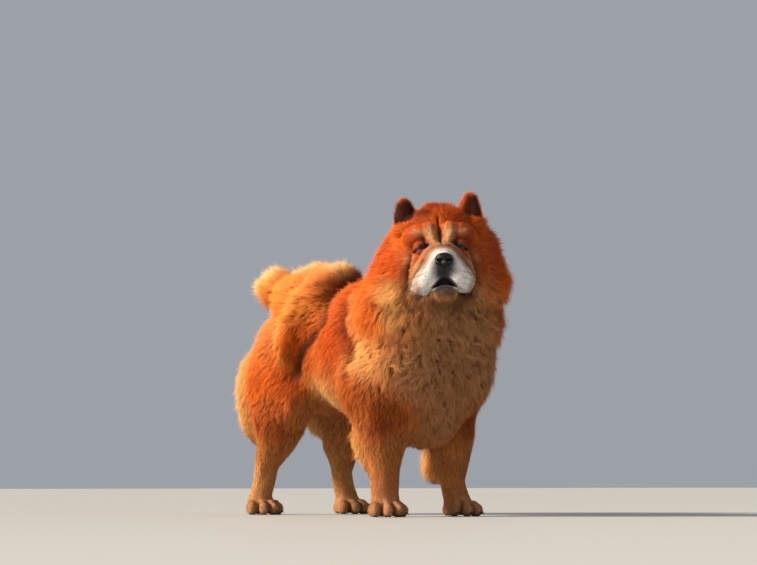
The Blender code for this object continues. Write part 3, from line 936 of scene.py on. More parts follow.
def paint_muzzle(coat):
    """Grey-white inside a fawn rim, slate below the nose, and dark specks on the grey."""
    inside = inside_muzzle(coat)
    ripple = wavering(coat)
    rim = 0.0080 * smoothstep(-0.066, -0.045, coat.up)
    coat.tint("fawn", smoothstep(-0.002, 0.002, inside))
    coat.tint("grey", smoothstep(-0.002, 0.0022, inside + ripple - rim))
    snout = smoothstep(0.034, 0.010, coat.across + 0.3 * ripple)
    snout *= smoothstep(-0.086, -0.066, coat.up)
    snout *= smoothstep(-0.020, -0.040, coat.up) * (coat.back < -0.100)
    coat.tint("slate", 0.80 * snout)
    coat.fields["speck"] = smoothstep(0.008, 0.016, inside) * (1.0 - 0.6 * snout)


def dark_lips(face):
    """1 on the black lips: below the nose, round the mouth's arch and at its corners."""
    half = 0.0150 + 2.0 * wavering(face)
    lips = smoothstep(0.0065, -0.0055, face.across - half) * smoothstep(-0.038, -0.050, face.up)
    lips *= smoothstep(-0.078, -0.066, face.up + 0.25 * face.across) * (face.back < -0.090)
    rim = np.exp(-(((face.up - lip_line(face.across)) / 0.0016) ** 2))
    rim *= smoothstep(0.030, 0.020, face.across)
    rim = np.maximum(rim, face.near(MOUTH_SIDE, 0.0018))
    return np.maximum(lips, 0.9 * rim * (face.back < -0.080))


def paint_creases(coat):
    """Paints shade into the furrow, the eyes' slits and the folds; at the slits it also stands for
    the lids' dark rims.
    """
    # Painted shade in the furrow between the brows
    painted_shade = coat.near(FURROW, 0.0026) * smoothstep(0.078, 0.060, coat.up)
    coat.tint("painted_shade", 0.80 * painted_shade * coat.front)
    # Painted shade along the creases, also below the flews
    for line, width, share in CREASES:
        coat.tint("painted_shade", share * coat.near(line, width) * coat.front)


def paint_mouth(coat):
    """The black mouth, the greyish lower lip and the browner chin."""
    lower_lip = on_lower_lip(coat) * smoothstep(0.024, 0.014, coat.across)
    lower_lip *= smoothstep(-0.1045, -0.1000, coat.up) * (coat.back < -0.085)
    coat.tint("mouth", in_mouth(coat) * (1.0 - on_lower_lip(coat)))
    coat.tint("lower_lip", lower_lip)
    chin = smoothstep(-0.099, -0.104, coat.up) * smoothstep(-0.126, -0.112, coat.up)
    chin *= smoothstep(0.045, 0.030, coat.across) * coat.front
    coat.tint("brown", 0.20 * chin)


def trim_face(coat):
    """Keeps slits, mouth, lips and nose clear of hair, and the hair round them short."""
    coat.clear(in_mouth(coat) * (1.0 - 0.6 * on_lower_lip(coat)))
    coat.clear(coat.near(EYE_SLIT, 0.0022) * coat.front)
    coat.clear(coat.near(EYE_CORNER, 0.0028) * coat.front)
    coat.clear(0.75 * dark_lips(coat))
    from_nose = (coat.rows - np.array(NOSE_PLACE)) / (0.021, 0.018, 0.015)
    coat.clear(smoothstep(1.15, 0.95, np.linalg.norm(from_nose, axis=1)))
    calm = np.maximum(coat.near(EYE_SLIT, 0.0070), coat.near(FURROW, 0.0040))
    calm = np.maximum(calm, coat.near(MUZZLE_EDGE, 0.0045))
    length = coat.fields["length"] * (1.0 - 0.55 * calm * coat.front)
    on_muzzle = inside_muzzle(coat) > 0.0
    coat.fields["length"] = np.where(on_muzzle, np.minimum(length, MUZZLE_HAIR), length)


def paint_ears(coat):
    """Short red hair on the ears, painted nearly black in their hollows as shade, with a painted
    shadow by the right one.
    """
    for side in (1, -1):
        local = carried(coat.points, ear_frame(side).inverted())
        share = np.clip(local[:, 2] / EAR_HEIGHT, 0.0, 1.0)
        on_ear = (np.abs(local[:, 0]) < ear_half_width(share) * 1.25) & (local[:, 2] > 0.004)
        on_ear &= (np.abs(local[:, 1]) < 0.026) & (local[:, 2] < EAR_HEIGHT + 0.01)
        # Painted shade in the ear's hollow
        dark = on_ear * ear_inside(local, share, side) * smoothstep(0.005, -0.001, local[:, 1])
        coat.tint("ear_back", 0.9 * on_ear)
        coat.tint("ear_hollow_shade", 0.92 * dark)
        length = EAR_HAIR + 0.003 * dark
        coat.fields["length"] = np.where(on_ear, length, coat.fields["length"])
    # Painted shadow at the foot of the right ear
    shade = near_line(coat.rows[:, 0], coat.up, EAR_SHADE, 0.0090)
    coat.tint("painted_shade", 0.75 * (shade * smoothstep(0.030, 0.0, coat.back)))


def paint_body(coat):
    """Pales the tail's upper fringe, partly as a painted highlight where the sun rims it, and
    paints shade into the coat's creases: under the tail, behind the mane and below the cheeks.
    """
    back, height = coat.points[:, 1], coat.points[:, 2]
    # Paler hair along the top of the tail, partly a painted highlight where the sun rims the plume
    rise = np.where(back > 0.22, 0.0, 0.02)
    fringe = smoothstep(0.0, 0.035, height - 0.497 - rise) * smoothstep(0.02, 0.06, back)
    coat.tint("cream", 0.85 * fringe * (height > 0.48))
    under_tail = tail_shadow(coat.points, 0.017)
    mane = behind_mane(coat.points)
    cheeks = below_cheeks(coat.points)
    crease = np.maximum(np.maximum(under_tail, 0.8 * mane), cheeks)
    coat.fields["length"] = coat.fields["length"] * (1.0 - 0.55 * crease)
    # Painted shadow under the tail's edge, below the cheeks and in the crease behind the mane
    coat.tint("painted_shade", 0.92 * under_tail)
    coat.tint("painted_shade", 0.55 * cheeks)
    coat.tint("gold", 0.4 * behind_mane(coat.points, -0.022))
    coat.tint("painted_shade", 0.45 * mane)


def paint_paws(coat):
    """Painted shade in the gaps between the toes, bare dark soles, and hair that gets short by the
    floor.
    """
    for name in PAWS:
        local = carried(coat.points, paw_frame(name).inverted())
        near = (np.hypot(local[:, 0], local[:, 1] + 0.02) < 0.05) & (local[:, 2] < 0.036)
        # Painted shade between the toes
        coat.tint("painted_shade", 0.8 * (toe_gap_share(local[:, 0], local[:, 1]) * near))
        under = near * smoothstep(0.006, 0.002, local[:, 2])
        coat.tint("lip", 0.8 * under)
        coat.clear(under)
        length = coat.fields["length"]
        short = np.minimum(length, SOLE_HAIR * local[:, 2])
        coat.fields["length"] = np.where(near, short, length)


def painted_fields(points):
    """The coat's fields with all its markings. Later ones lie over earlier ones."""
    coat = Coat(points)
    paint_brows(coat)
    paint_muzzle(coat)
    coat.tint("lip", 0.92 * dark_lips(coat))
    paint_creases(coat)
    paint_mouth(coat)
    trim_face(coat)
    paint_ears(coat)
    paint_body(coat)
    paint_paws(coat)
    return coat.fields


def dress_skin(skin):
    """Gives the skin its unwrap and the fields from which the coat grows."""
    mesh = skin.data
    bpy.context.view_layer.objects.active = skin
    skin.select_set(True)
    bpy.ops.object.mode_set(mode="EDIT")
    bpy.ops.mesh.select_all(action="SELECT")
    bpy.ops.uv.smart_project(angle_limit=math.radians(75), island_margin=0.004)
    bpy.ops.object.mode_set(mode="OBJECT")
    mesh.uv_layers.active.name = "SkinMap"
    points = points_of(mesh)
    fields = painted_fields(points)
    normals = soft_normals(mesh, edges_of(mesh))
    comb = fields["comb"]
    comb = comb - normals * (comb * normals).sum(axis=1, keepdims=True)
    comb /= np.linalg.norm(comb, axis=1, keepdims=True) + 1e-6
    fields["region"] = region_of(points)
    set_field(mesh, "comb", comb, "FLOAT_VECTOR")
    set_field(mesh, "root_normal", normals, "FLOAT_VECTOR")
    set_field(mesh, "tone", fields["tone"], "FLOAT_COLOR")
    for name in ("length", "lift", "curl", "speck", "bare", "region"):
        set_field(mesh, name, fields[name], "FLOAT")


# Share of the skin's own normal in a tuft's shading
SOFTNESS = 0.55

# How deep a tuft's root sits in the skin, and half the side of its patch on the map
ROOT_DEPTH = 0.0012
PATCH_HALF = 0.0015


# Geometry node helpers


class Value:
    """A number or a vector in a node tree, which can be added to, subtracted and multiplied."""

    def __init__(self, graph, socket):
        self.graph = graph
        self.socket = socket
        self.is_vector = socket.type in ("VECTOR", "RGBA")

    def __add__(self, other):
        return self.graph.combined("ADD", self, other)

    def __radd__(self, other):
        return self.graph.combined("ADD", other, self)

    def __sub__(self, other):
        return self.graph.combined("SUBTRACT", self, other)

    def __rsub__(self, other):
        return self.graph.combined("SUBTRACT", other, self)

    def __mul__(self, other):
        return self.graph.combined("MULTIPLY", self, other)


class Graph:
    """A node tree that is built one call at a time."""

    def __init__(self, name, kind="GeometryNodeTree"):
        self.tree = bpy.data.node_groups.new(name, kind)

    def socket(self, name, kind, value=None, out=False):
        """A named input or output of the tree."""
        side = "OUTPUT" if out else "INPUT"
        made = self.tree.interface.new_socket(name=name, in_out=side, socket_type=kind)
        if value is not None:
            made.default_value = value

    def numbers(self, values):
        """Named inputs that take plain numbers."""
        for name, value in values.items():
            self.socket(name, "NodeSocketFloat", value)

    def inputs(self):
        """The values of the tree's inputs, by name."""
        outputs = self.node("NodeGroupInput").outputs
        return {slot.name: Value(self, slot) for slot in outputs if slot.name}

    def leave(self, values):
        """Feeds the tree's outputs and returns the tree."""
        made = self.node("NodeGroupOutput")
        for name, value in values.items():
            self.feed(made.inputs[name], value)
        return self.tree

    def node(self, kind, inputs=None, **settings):
        """A node. Inputs are given by name or number, as values of the tree or plain ones."""
        made = self.tree.nodes.new(kind)
        for key, value in settings.items():
            setattr(made, key, value)
        for key, value in (inputs or {}).items():
            self.feed(made.inputs[key], value)
        return made

    def value(self, output, kind, inputs=None, **settings):
        """One output, by name or number, of a new node."""
        return Value(self, self.node(kind, inputs, **settings).outputs[output])

    def feed(self, target, value):
        """Links a value of the tree to an input, or sets the input to a plain one."""
        if isinstance(value, Value):
            self.tree.links.new(value.socket, target)
        else:
            target.default_value = value

    def math(self, operation, *values):
        """A number worked out from numbers."""
        return self.value(0, "ShaderNodeMath", dict(enumerate(values)), operation=operation)

    def vector(self, operation, *values):
        """A vector, or for a dot product or a length a number, worked out from vectors."""
        output = 1 if operation in ("DOT_PRODUCT", "LENGTH") else 0
        inputs = dict(enumerate(values))
        return self.value(output, "ShaderNodeVectorMath", inputs, operation=operation)

    def combined(self, operation, left, right):
        """Two numbers or vectors added, subtracted or multiplied."""
        are_vectors = [
            isinstance(value, tuple) or getattr(value, "is_vector", False)
            for value in (left, right)
        ]
        if all(are_vectors):
            return self.vector(operation, left, right)
        if not any(are_vectors):
            return self.math(operation, left, right)
        vector, number = (left, right) if are_vectors[0] else (right, left)
        inputs = {0: vector, "Scale": number}
        return self.value(0, "ShaderNodeVectorMath", inputs, operation="SCALE")

    def along_surface(self, vector, normal):
        """The part of a vector that lies in the surface with this normal."""
        return vector - normal * self.vector("DOT_PRODUCT", vector, normal)

    def named(self, name, kind="FLOAT"):
        """The value of a named attribute."""
        made = self.node("GeometryNodeInputNamedAttribute", {"Name": name}, data_type=kind)
        slot = next(slot for slot in made.outputs if slot.name == "Attribute" and slot.enabled)
        return Value(self, slot)

    def store(self, geometry, name, value, kind="FLOAT", domain="POINT"):
        """The geometry with a value stored under a name."""
        inputs = {"Geometry": geometry, "Name": name}
        made = self.node(
            "GeometryNodeStoreNamedAttribute", inputs, data_type=kind, domain=domain
        )
        slot = next(slot for slot in made.inputs if slot.name == "Value" and slot.enabled)
        self.feed(slot, value)
        return Value(self, made.outputs[0])

    def random(self, low, high, seed):
        """A random number at each point. The same seed always gives the same numbers."""
        made = self.node("FunctionNodeRandomValue", data_type="FLOAT")
        slots = [slot for slot in made.inputs if slot.enabled]
        self.feed(slots[0], low)
        self.feed(slots[1], high)
        self.feed(next(slot for slot in slots if slot.name == "Seed"), seed)
        return Value(self, next(slot for slot in made.outputs if slot.enabled))


def tuft_tree(material):
    """The coat's tufts: slim closed spikes, rooted in the skin, raised and then laid along it."""
    g = Graph("coat_tufts")
    g.socket("Geometry", "NodeSocketGeometry")
    g.numbers({"Region": 0.0, "Spacing": 0.003, "Width": 0.002, "Clump Size": 0.020, "Belly": 0.4})
    g.socket("Seed", "NodeSocketInt", 1)
    g.socket("Geometry", "NodeSocketGeometry", out=True)
    enter = g.inputs()
    spacing, width, clump = enter["Spacing"], enter["Width"], enter["Clump Size"]
    position = g.value(0, "GeometryNodeInputPosition")

    # Roots, spread evenly over one region of the skin
    off_region = g.math("ABSOLUTE", g.named("region") - enter["Region"])
    spread = {
        "Mesh": enter["Geometry"],
        "Distance Min": spacing,
        "Density Max": g.math("DIVIDE", 0.9, spacing * spacing),
        "Density Factor": g.math("LESS_THAN", off_region, 0.5) * (1.0 - g.named("bare")),
        "Seed": enter["Seed"],
    }
    roots = g.value(
        "Points", "GeometryNodeDistributePointsOnFaces", spread, distribute_method="POISSON"
    )
    roots = g.store(roots, "root", position, "FLOAT_VECTOR")
    roots = g.store(roots, "chance", g.random(0.0, 1.0, 11))
    roots = g.store(roots, "sway", g.random(-1.0, 1.0, 12))
    roots = g.store(roots, "vigour", g.random(0.85, 1.10, 13))
    roots = g.store(roots, "stray", g.math("GREATER_THAN", g.random(0.0, 1.0, 14), 0.93))
    roots = g.store(roots, "root_map", g.named("SkinMap", "FLOAT_VECTOR"), "FLOAT_VECTOR")

    # One plain spike: a point at the root, three corners and a point at the tip
    cone = {
        "Vertices": 3,
        "Side Segments": 1,
        "Fill Segments": 1,
        "Radius Top": 0.0,
        "Radius Bottom": 1.0,
        "Depth": 1.0,
    }
    spike = g.value("Mesh", "GeometryNodeMeshCone", cone, fill_type="TRIANGLE_FAN")
    spike = g.store(spike, "spike", position, "FLOAT_VECTOR")
    copies = g.value(0, "GeometryNodeInstanceOnPoints", {"Points": roots, "Instance": spike})
    tufts = g.value(0, "GeometryNodeRealizeInstances", {0: copies})

    # Each point's place along and round its tuft
    split = g.node("ShaderNodeSeparateXYZ", {0: g.named("spike", "FLOAT_VECTOR")}).outputs
    round_x, round_y, height = (Value(g, split[axis]) for axis in "XYZ")
    ring = g.vector("LENGTH", g.value(0, "ShaderNodeCombineXYZ", {"X": round_x, "Y": round_y}))
    along = height + ring * enter["Belly"]
    along_squared = along * along

    # The clumps: each hair leans with its clump, and its tip is drawn to the clump's middle
    root = g.named("root", "FLOAT_VECTOR")
    normal = g.vector("NORMALIZE", g.named("root_normal", "FLOAT_VECTOR"))
    curl = g.named("curl")
    noise = {"Vector": root, "Scale": g.math("DIVIDE", 0.6, clump), "Detail": 1.5}
    soft = g.value("Color", "ShaderNodeTexNoise", noise) - (0.5, 0.5, 0.5)
    bent = root + soft * (clump * 1.2)
    cells = {"Vector": bent, "Scale": g.math("DIVIDE", 1.0, clump)}
    cell = g.node("ShaderNodeTexVoronoi", cells).outputs
    gap = g.math("MINIMUM", Value(g, cell["Distance"]), 0.8)
    mood = Value(g, cell["Color"]) - (0.5, 0.5, 0.5)
    lean = mood * (curl * 1.9 + 0.08) + soft * (curl + 0.55)
    comb = g.named("comb", "FLOAT_VECTOR")
    swayed = comb + g.vector("CROSS_PRODUCT", normal, comb) * (g.named("sway") * 0.25) + lean
    lie = g.vector("NORMALIZE", g.along_surface(swayed, normal))
    side = g.vector("CROSS_PRODUCT", normal, lie)
    short = g.value(0, "ShaderNodeClamp", {"Value": g.named("length") * 40.0})
    gather = g.along_surface(Value(g, cell["Position"]) - bent, normal)
    gather = gather * (along_squared * (curl * 0.60 + 0.12)) * short

    # The curve of the hair: up from the root, then along the lie
    chance = g.named("chance")
    by_gap = 1.08 - gap * (curl * 0.35 + 0.18)
    lift = g.named("lift") * (chance * 0.28 + 0.84) * (g.named("stray") * 0.45 + 1.0)
    lift = g.math("MINIMUM", lift * by_gap, 0.95)
    length = g.named("length") * g.named("vigour") * by_gap
    rise = along * 1.7 - along_squared * 0.7
    run = along * 0.55 + along_squared * 0.45
    up = normal * (rise * lift * length)
    out = lie * (run * g.math("SQRT", 1.0 - lift * lift) * length)
    sink = normal * -ROOT_DEPTH

    # The section: flat against the body
    wide = side * (round_x * width)
    deep = normal * (round_y * width * 0.5)
    place = root + up + out + sink + gather + wide + deep

    # How light each hair is: by chance and by its clump, and darker between the clumps as painted
    # shade in the crevices
    by_clump = g.value("X", "ShaderNodeSeparateXYZ", {0: mood}) * 0.40
    shade = by_clump + 0.62 + (chance - 0.5) * 0.5 - gap * 0.38
    tufts = g.store(tufts, "along", along)
    tufts = g.store(tufts, "shade", shade)
    tufts = g.value(0, "GeometryNodeSetPosition", {"Geometry": tufts, "Position": place})

    # Each tuft's own small patch of the map, at its root's place
    patch = {"X": round_x * PATCH_HALF, "Y": round_y * PATCH_HALF}
    on_map = g.named("root_map", "FLOAT_VECTOR") + g.value(0, "ShaderNodeCombineXYZ", patch)
    tufts = g.store(tufts, "OFBake", on_map, "FLOAT2", "CORNER")
    spares = "spike root root_map sway vigour stray chance comb region lift bare curl length"
    for spare in spares.split():
        inputs = {"Geometry": tufts, "Name": spare}
        tufts = g.value(0, "GeometryNodeRemoveAttribute", inputs)
    tufts = g.value(0, "GeometryNodeSetShadeSmooth", {"Geometry": tufts})
    tufts = g.value(0, "GeometryNodeSetMaterial", {"Geometry": tufts, "Material": material})
    return g.leave({"Geometry": tufts})


def grow(skin, tree, name, settings):
    """A coat piece: the tufts of one region, as a plain mesh."""
    seed = link(name + "_roots", skin.data.copy())
    modifier = seed.modifiers.new("tufts", "NODES")
    modifier.node_group = tree
    for item in tree.interface.items_tree:
        if item.item_type == "SOCKET" and item.in_out == "INPUT" and item.name in settings:
            modifier[item.identifier] = settings[item.name]
    mesh = baked(seed)
    mesh.name = name
    soften(mesh)
    return link(name, mesh)


def soften(mesh):
    """Turns the tufts' shading normals partly towards the body's, as light in fur does."""
    lay = np.empty(len(mesh.vertices) * 3)
    mesh.attributes["root_normal"].data.foreach_get("vector", lay)
    blend = normals_of(mesh) * (1.0 - SOFTNESS) + lay.reshape(-1, 3) * SOFTNESS
    mesh.normals_split_custom_set_from_vertices(unit_rows(blend))
    mesh.attributes.remove(mesh.attributes["root_normal"])


# Materials


def shader_group_markings():
    """Colour of coat and skin: the tone of the place, varied by tuft, and paler to the tips. The
    dark roots are partly the hair's own colour and partly painted shade deep in the coat.
    """
    g = Graph("coat_markings", "ShaderNodeTree")
    g.numbers({"Along": 0.5, "Shade": 0.5, "Speck": 0.0})
    g.socket("Tone", "NodeSocketColor", (0.5, 0.5, 0.5, 1.0))
    g.socket("Colour", "NodeSocketColor", out=True)
    enter = g.inputs()
    tone, speck = enter["Tone"], enter["Speck"]
    coordinates = g.value("Object", "ShaderNodeTexCoord")
    noise = {"Vector": coordinates, "Scale": 26.0, "Detail": 3.0}
    patches = g.value("Fac", "ShaderNodeTexNoise", noise)
    amount = (enter["Shade"] * 0.72 + 0.66) * (patches * 0.52 + 0.74)
    # Dark roots: the hair's own darker base and painted shade deep in the coat, less on the muzzle
    root = tone * (speck * (0.36, 0.48, 0.58) + (0.42, 0.29, 0.21))
    tip = tone * (1.12, 1.16, 1.20)
    colour = (root + (tip - root) * enter["Along"]) * amount
    cells = {"Vector": coordinates, "Scale": 210.0}
    spots = g.value("Distance", "ShaderNodeTexVoronoi", cells)
    dark = g.math("LESS_THAN", spots, 0.24) * speck
    return g.leave({"Colour": colour * (1.0 - dark * 0.75)})


def new_material(name, roughness):
    """A material of this roughness, with its node tree and its shader."""
    material = bpy.data.materials.new(name)
    material.use_nodes = True
    shader = material.node_tree.nodes["Principled BSDF"]
    shader.inputs["Roughness"].default_value = roughness
    return material, material.node_tree, shader


def marked(tree, shader, group_tree, names):
    """Colours a shader through a group that is fed from the piece's named attributes."""
    group = tree.nodes.new("ShaderNodeGroup")
    group.node_tree = group_tree
    for name in names:
        source = tree.nodes.new("ShaderNodeAttribute")
        source.attribute_name = name.lower()
        output = source.outputs["Color" if name == "Tone" else "Fac"]
        tree.links.new(output, group.inputs[name])
    tree.links.new(group.outputs["Colour"], shader.inputs["Base Color"])
    return group


def add_bump(tree, shader, height, strength, distance):
    """Raises a surface by a height that changes over it."""
    bump = tree.nodes.new("ShaderNodeBump")
    bump.inputs["Strength"].default_value = strength
    bump.inputs["Distance"].default_value = distance
    tree.links.new(height, bump.inputs["Height"])
    tree.links.new(bump.outputs["Normal"], shader.inputs["Normal"])


def coat_material(markings):
    """The tufts: dull, with the markings and a faint warm sheen."""
    material, tree, shader = new_material("coat", 0.62)
    marked(tree, shader, markings, ("Along", "Shade", "Speck", "Tone"))
    shader.inputs["Sheen Weight"].default_value = 0.04
    shader.inputs["Sheen Roughness"].default_value = 0.4
    shader.inputs["Sheen Tint"].default_value = (1.0, 0.72, 0.45, 1.0)
    shader.inputs["Specular IOR Level"].default_value = 0.08
    return material


def skin_material(markings):
    """The skin has the coat's markings, as dark as the hair's roots, which is partly painted shade
    deep in the coat, and a fine grain.
    """
    material, tree, shader = new_material("skin", 0.75)
    group = marked(tree, shader, markings, ("Tone", "Speck"))
    group.inputs["Along"].default_value = 0.1
    group.inputs["Shade"].default_value = 0.3
    noise = tree.nodes.new("ShaderNodeTexNoise")
    noise.inputs["Scale"].default_value = 900.0
    coordinates = tree.nodes.new("ShaderNodeTexCoord")
    tree.links.new(coordinates.outputs["Object"], noise.inputs["Vector"])
    add_bump(tree, shader, noise.outputs["Fac"], 0.5, 0.0006)
    return material


def shader_group_grain():
    """A fine grain for leather, horn and the like: small cells and a slow change of tone."""
    g = Graph("grain", "ShaderNodeTree")
    g.socket("Tone", "NodeSocketColor", (0.5, 0.5, 0.5, 1.0))
    g.numbers({"Scale": 800.0, "Contrast": 0.3})
    g.socket("Colour", "NodeSocketColor", out=True)
    g.socket("Height", "NodeSocketFloat", out=True)
    enter = g.inputs()
    coordinates = g.value("Object", "ShaderNodeTexCoord")
    fine = {"Vector": coordinates, "Scale": enter["Scale"]}
    cells = g.value("Distance", "ShaderNodeTexVoronoi", fine)
    coarse = {"Vector": coordinates, "Scale": enter["Scale"] * 0.15, "Detail": 3.0}
    slow = g.value("Fac", "ShaderNodeTexNoise", coarse)
    amount = (slow - cells * 0.5 - 0.25) * enter["Contrast"] + 1.0
    return g.leave({"Colour": enter["Tone"] * amount, "Height": 1.0 - cells})


def grained_material(name, grain, roughness, scale, contrast, relief, colour=None):
    """A material with the grain. Without a colour it takes the piece's own tone."""
    material, tree, shader = new_material(name, roughness)
    group = marked(tree, shader, grain, () if colour else ("Tone",))
    group.inputs["Scale"].default_value = scale
    group.inputs["Contrast"].default_value = contrast
    if colour:
        group.inputs["Tone"].default_value = (*colour, 1.0)
    shader.inputs["Specular IOR Level"].default_value = 0.3
    add_bump(tree, shader, group.outputs["Height"], 0.8, relief)
    return material


# Room


def make_floor():
    """A wide pale floor, which belongs to the room and not to the dog."""
    bm = bmesh.new()
    bmesh.ops.create_grid(bm, x_segments=1, y_segments=1, size=20.0)
    floor = link("floor", mesh_of(bm, "floor"))
    material, _, shader = new_material("pale_floor", 0.6)
    shader.inputs["Base Color"].default_value = (*srgb(176, 175, 173), 1.0)
    floor.data.materials.append(material)


def make_lamp(name, direction, distance, size, watts, colour):
    """A square soft lamp that looks at the dog's middle from a direction."""
    light = bpy.data.lights.new(name, "AREA")
    light.size = size
    light.energy = watts
    light.color = colour
    place_light(light, direction, distance)


def place_light(light, direction, distance):
    """Hangs a light in a direction from the dog's middle, at which it looks."""
    lamp = bpy.data.objects.new(light.name, light)
    target = Vector((0, 0, 0.35))
    lamp.location = target + Vector(direction).normalized() * distance
    lamp.rotation_euler = (target - lamp.location).to_track_quat("-Z", "Y").to_euler()
    bpy.context.scene.collection.objects.link(lamp)


def make_lights():
    """A low warm sun on the dog's right, two soft lamps in front of it and a pale sky."""
    sun = bpy.data.lights.new("key", "SUN")
    sun.energy = 8.0
    sun.angle = math.radians(14)
    sun.color = (1.0, 0.89, 0.72)
    place_light(sun, (-0.86, 0.32, 0.48), 3.2)
    make_lamp("fill", (0.55, -1.0, 0.55), 3.6, 3.0, 12, (0.98, 0.97, 0.98))
    make_lamp("front", (-0.75, -0.75, 0.45), 4.5, 3.0, 22, (1.0, 0.95, 0.90))
    world = bpy.context.scene.world or bpy.data.worlds.new("room")
    bpy.context.scene.world = world
    world.use_nodes = True
    background = world.node_tree.nodes["Background"]
    background.inputs["Color"].default_value = (0.80, 0.85, 0.92, 1.0)
    background.inputs["Strength"].default_value = 0.42


def make_camera():
    """The photographer's view of the dog."""
    camera = bpy.data.cameras.new("camera")
    camera.lens = LENS_MM
    camera.sensor_width = 36.0
    obj = bpy.data.objects.new("camera", camera)
    obj.location = CAMERA_PLACE
    obj.rotation_euler = (math.pi / 2 + CAMERA_PITCH, 0, CAMERA_YAW)
    bpy.context.scene.collection.objects.link(obj)
    bpy.context.scene.camera = obj


# The eye looks ahead and a little outwards, in the head's own frame
GAZE = Vector((0.18, -1.0, 0.06)).normalized()
PUPIL = 0.24
IRIS = 0.60


def make_eyes(material):
    """The eyeballs: a black pupil, a dark brown iris and the darker white round them."""
    for side, name in ((1, "left"), (-1, "right")):
        bm = bmesh.new()
        x, y, z = EYE_PLACE
        egg(bm, (side * x, y + 0.0016, z), (0.0114,) * 3, place=HEAD, rings=4)
        eye = link("eyeball_" + name, mesh_of(bm, "eyeball"))
        eye.data.shade_smooth()
        out = unit_rows(in_head(points_of(eye.data)) - np.array((side * x, y, z)))
        turn = np.arccos(np.clip(out @ np.array((side * GAZE.x, GAZE.y, GAZE.z)), -1.0, 1.0))
        tone = np.full((len(out), 3), 0.02)
        tone = mixed(tone, srgb(26, 13, 7), smoothstep(IRIS + 0.05, IRIS, turn))
        tone = mixed(tone, (0.002, 0.002, 0.002), smoothstep(PUPIL + 0.04, PUPIL, turn))
        set_field(eye.data, "tone", tone, "FLOAT_COLOR")
        eye.data.materials.append(material)
        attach(eye, "root")
        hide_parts("eye_" + name)


# The nose's lines, in its own frame: (outwards, upwards)
NOSTRIL = ((0.0070, -0.0035), (0.0105, -0.0030), (0.0150, -0.0005))
NOSE_CLEFT = ((0.0, 0.001), (0.0, -0.014))
NOSTRIL_DEPTH = 0.0075
NOSE_CLEFT_DEPTH = 0.0012
NOSE_CELL = 0.0007


def make_nose(material):
    """The broad damp nose with its comma-shaped nostrils, painted darker inside as shade, and the
    cleft below.
    """
    place = HEAD @ Matrix.Translation(NOSE_PLACE)
    bm = bmesh.new()
    egg(bm, (0, 0.004, 0.004), (0.0175, 0.0130, 0.0110), place=place, rings=4)
    pair(bm, (0.0100, 0.003, -0.001), (0.0095, 0.0115, 0.0100), place=place)
    egg(bm, (0, 0.002, -0.007), (0.0065, 0.0100, 0.0080), place=place, rings=4)
    mesh = welded(mesh_of(bm, "nose"), NOSE_CELL, 6)
    points = points_of(mesh)
    normals = relaxed(normals_of(mesh), edges_of(mesh), 6)
    q = in_head(points) - np.array(NOSE_PLACE)
    across, ahead, up = np.abs(q[:, 0]), q[:, 1], q[:, 2]
    front = smoothstep(0.004, -0.002, ahead)
    hollow = near_line(across, up, NOSTRIL, 0.0026)
    deep = NOSTRIL_DEPTH * hollow
    deep += NOSE_CLEFT_DEPTH * near_line(across, up, NOSE_CLEFT, 0.0009)
    set_points(mesh, points - normals * (deep * front)[:, None])
    # The nostrils painted darker still, as painted shade in their hollows
    tone = mixed(np.tile(srgb(6, 6, 8), (len(points), 1)), (0.001, 0.001, 0.001), hollow * front)
    set_field(mesh, "tone", tone, "FLOAT_COLOR")
    mesh.shade_smooth()
    nose = link("nose_leather", mesh)
    nose.data.materials.append(material)
    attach(nose, "root")
    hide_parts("nose")


# A claw: how far it reaches and dips, its radius, and the rings and sides of its cone
CLAW_REACH = 0.0105
CLAW_DIP = 0.0050
CLAW_RADIUS = 0.0030
CLAW_RINGS = 6
CLAW_SIDES = 10


def add_claw(bm, place, size):
    """One curved claw, closed at both ends. Place carries its toe's tip to the dog."""
    rings = []
    for step in range(CLAW_RINGS):
        share = step / (CLAW_RINGS - 1)
        centre = Vector((0, -0.0090 - CLAW_REACH * share, -0.001 - CLAW_DIP * share**2))
        radius = CLAW_RADIUS * size * (1.0 - share) + 0.0003
        ring = []
        for side in range(CLAW_SIDES):
            angle = math.tau * side / CLAW_SIDES
            rim = Vector((radius * 0.8 * math.cos(angle), 0, radius * math.sin(angle)))
            ring.append(bm.verts.new(place @ (centre + rim)))
        rings.append(ring)
    for lower, upper in zip(rings, rings[1:]):
        for here in range(CLAW_SIDES):
            after = (here + 1) % CLAW_SIDES
            bm.faces.new((lower[here], lower[after], upper[after], upper[here]))
    bm.faces.new(rings[0][::-1])
    bm.faces.new(rings[-1])


def make_claws(material):
    """Four short dark claws on each paw, curved down to the floor."""
    bm = bmesh.new()
    for name in PAWS:
        for spread, reach, size in TOES:
            _, tip = toe_points(spread, reach)
            place = paw_frame(name) @ Matrix.Translation(tip)
            add_claw(bm, place @ Matrix.Rotation(spread * TOE_FAN, 4, "Z"), size)
    bmesh.ops.recalc_face_normals(bm, faces=bm.faces)
    claws = link("claws", mesh_of(bm, "claws"))
    claws.data.shade_smooth()
    claws.data.materials.append(material)
    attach(claws, "root")


# Whiskers: rows on each side of the muzzle (outwards, upwards, how many) and how far they
# stand out
WHISKER_ROWS = ((0.034, -0.052, 4), (0.032, -0.062, 5), (0.032, -0.073, 5), (0.034, -0.084, 4))
WHISKER_GAP = 0.0055
WHISKER_LENGTH = 0.034
WHISKER_STEPS = 7


